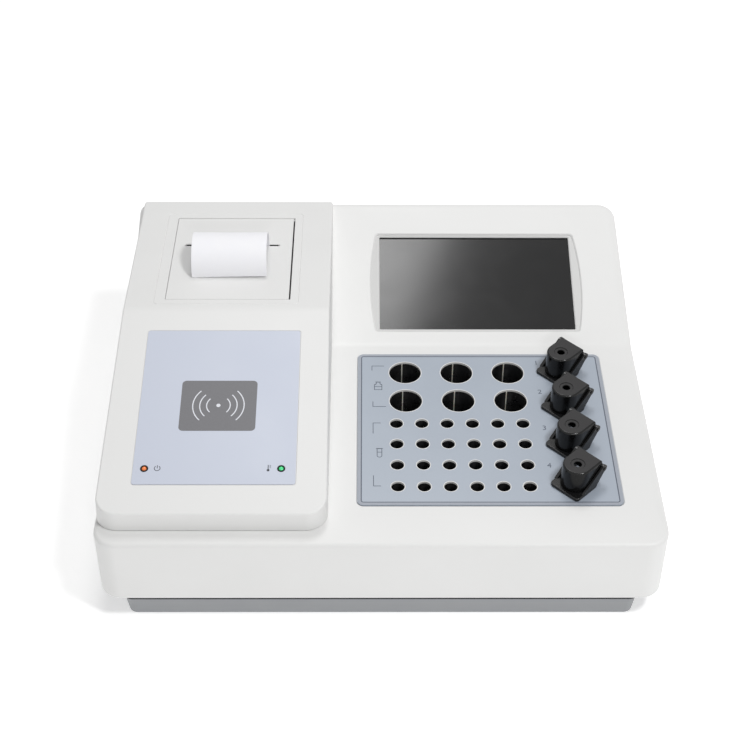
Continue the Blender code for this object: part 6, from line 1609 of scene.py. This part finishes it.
# %% Floor, room and lamps
FLOOR_HALF = 6.0
FLOOR_OWN_LIGHT = 0.42
ROOM_LIGHT = 0.30
KEY_PLACE = Vector((0.75, -0.62, 1.85))
KEY_SIZE = Vector((0.3, 0.3))
KEY_POWER = 17
TOP_PLACE = Vector((-0.02, 0.98, 2.2))
TOP_SIZE = Vector((0.46, 0.90))
TOP_TURN = radians(-20)
TOP_POWER = 13.5
FRONT_PLACE = Vector((0.10, -1.90, 1.05))
FRONT_SIZE = Vector((0.45, 0.05))
FRONT_POWER = 4.5
AIM = Vector((0, 0, 0.08))


def pale_floor():
    """White floor that shows only a contact shadow."""
    material, tree, shader, metres = new_material("pale_floor", "#EDEDED", 0.9)
    shader.inputs["Emission Color"].default_value = (1, 1, 1, 1)
    shader.inputs["Emission Strength"].default_value = FLOOR_OWN_LIGHT
    speckle = add_node(tree, "ShaderNodeTexNoise", Vector=metres, Scale=per_metre(400))
    tint = add_node(tree, "ShaderNodeMix", {"data_type": "RGBA"}, _0=speckle.outputs["Fac"],
                    _6=linear("#ECECEC"), _7=linear("#EEEEEE"))
    tree.links.new(tint.outputs[2], shader.inputs["Base Color"])
    return material


def white_room():
    """World that lights evenly and looks white to the camera, to gloss and through glass."""
    world = bpy.data.worlds.new("white_room")
    world.use_nodes = True
    tree = world.node_tree
    sees = tree.nodes.new("ShaderNodeLightPath")
    either = add_node(tree, "ShaderNodeMath", {"operation": "MAXIMUM"}, _0=sees.outputs["Is Camera Ray"],
                      _1=sees.outputs["Is Glossy Ray"])
    any_of = add_node(tree, "ShaderNodeMath", {"operation": "MAXIMUM"}, _0=either.outputs[0],
                      _1=sees.outputs["Is Transmission Ray"])
    strength = add_node(tree, "ShaderNodeMapRange", _0=any_of.outputs[0], _3=ROOM_LIGHT, _4=1.0)
    background = tree.nodes["Background"]
    background.inputs["Color"].default_value = (1, 1, 1, 1)
    tree.links.new(strength.outputs[0], background.inputs["Strength"])
    return world


def area_lamp(name, place, size, power, turn=0):
    """Rectangular soft lamp aimed at the object, turned about its own axis."""
    data = bpy.data.lights.new(name, "AREA")
    data.shape = "RECTANGLE"
    data.size, data.size_y = size
    data.energy = power
    lamp = bpy.data.objects.new(name, data)
    lamp.location = place
    aimed = (AIM - place).to_track_quat("-Z", "Y").to_matrix()
    lamp.rotation_euler = (aimed @ Matrix.Rotation(turn, 3, "Z")).to_euler()
    bpy.context.scene.collection.objects.link(lamp)
    return lamp


floor_outline = rectangle(FLOOR_HALF, FLOOR_HALF)
floor = thing_of(stacked("floor", [(floor_outline, -0.02), (floor_outline, 0)]), pale_floor())
bpy.context.scene.world = white_room()
area_lamp("key_lamp", KEY_PLACE, KEY_SIZE, KEY_POWER)
area_lamp("overhead_lamp", TOP_PLACE, TOP_SIZE, TOP_POWER, TOP_TURN)
area_lamp("front_lamp", FRONT_PLACE, FRONT_SIZE, FRONT_POWER)
print("room", ROOM_LIGHT, "key", KEY_POWER, "W, overhead", TOP_POWER, "W")

# %% [markdown]
# The camera stands in front, a little to the left and well above the object. Its place
# and tilt were worked out once from straight edges of known size, and are set here as
# plain angles: the aim is turned a touch to the right and the picture leans a touch.

# %% Camera
CAMERA_PLACE = Vector((-0.01142, -0.88203, 0.80423))
CAMERA_DOWN = radians(39.36)
CAMERA_RIGHT = radians(0.50)
CAMERA_LEAN = radians(0.34)
LENS_MM = 72.0
SENSOR_MM = 36.0

ahead = Vector((sin(CAMERA_RIGHT) * cos(CAMERA_DOWN), cos(CAMERA_RIGHT) * cos(CAMERA_DOWN), -sin(CAMERA_DOWN)))
level_right = ahead.cross(Vector((0, 0, 1))).normalized()
level_up = level_right.cross(ahead)
right = level_right * cos(CAMERA_LEAN) + level_up * sin(CAMERA_LEAN)
up = level_up * cos(CAMERA_LEAN) - level_right * sin(CAMERA_LEAN)
camera_data = bpy.data.cameras.new("camera")
camera_data.lens = LENS_MM
camera_data.sensor_width = SENSOR_MM
camera_data.sensor_fit = "HORIZONTAL"
camera = bpy.data.objects.new("camera", camera_data)
camera.matrix_world = Matrix.Translation(CAMERA_PLACE) @ Matrix((right, up, -ahead)).transposed().to_4x4()
bpy.context.scene.collection.objects.link(camera)
bpy.context.scene.camera = camera
bpy.context.scene.view_settings.view_transform = "Standard"
print("camera stands", round(CAMERA_PLACE.length * 1000), "mm away")

# %% Update the scene
bpy.context.view_layer.update()
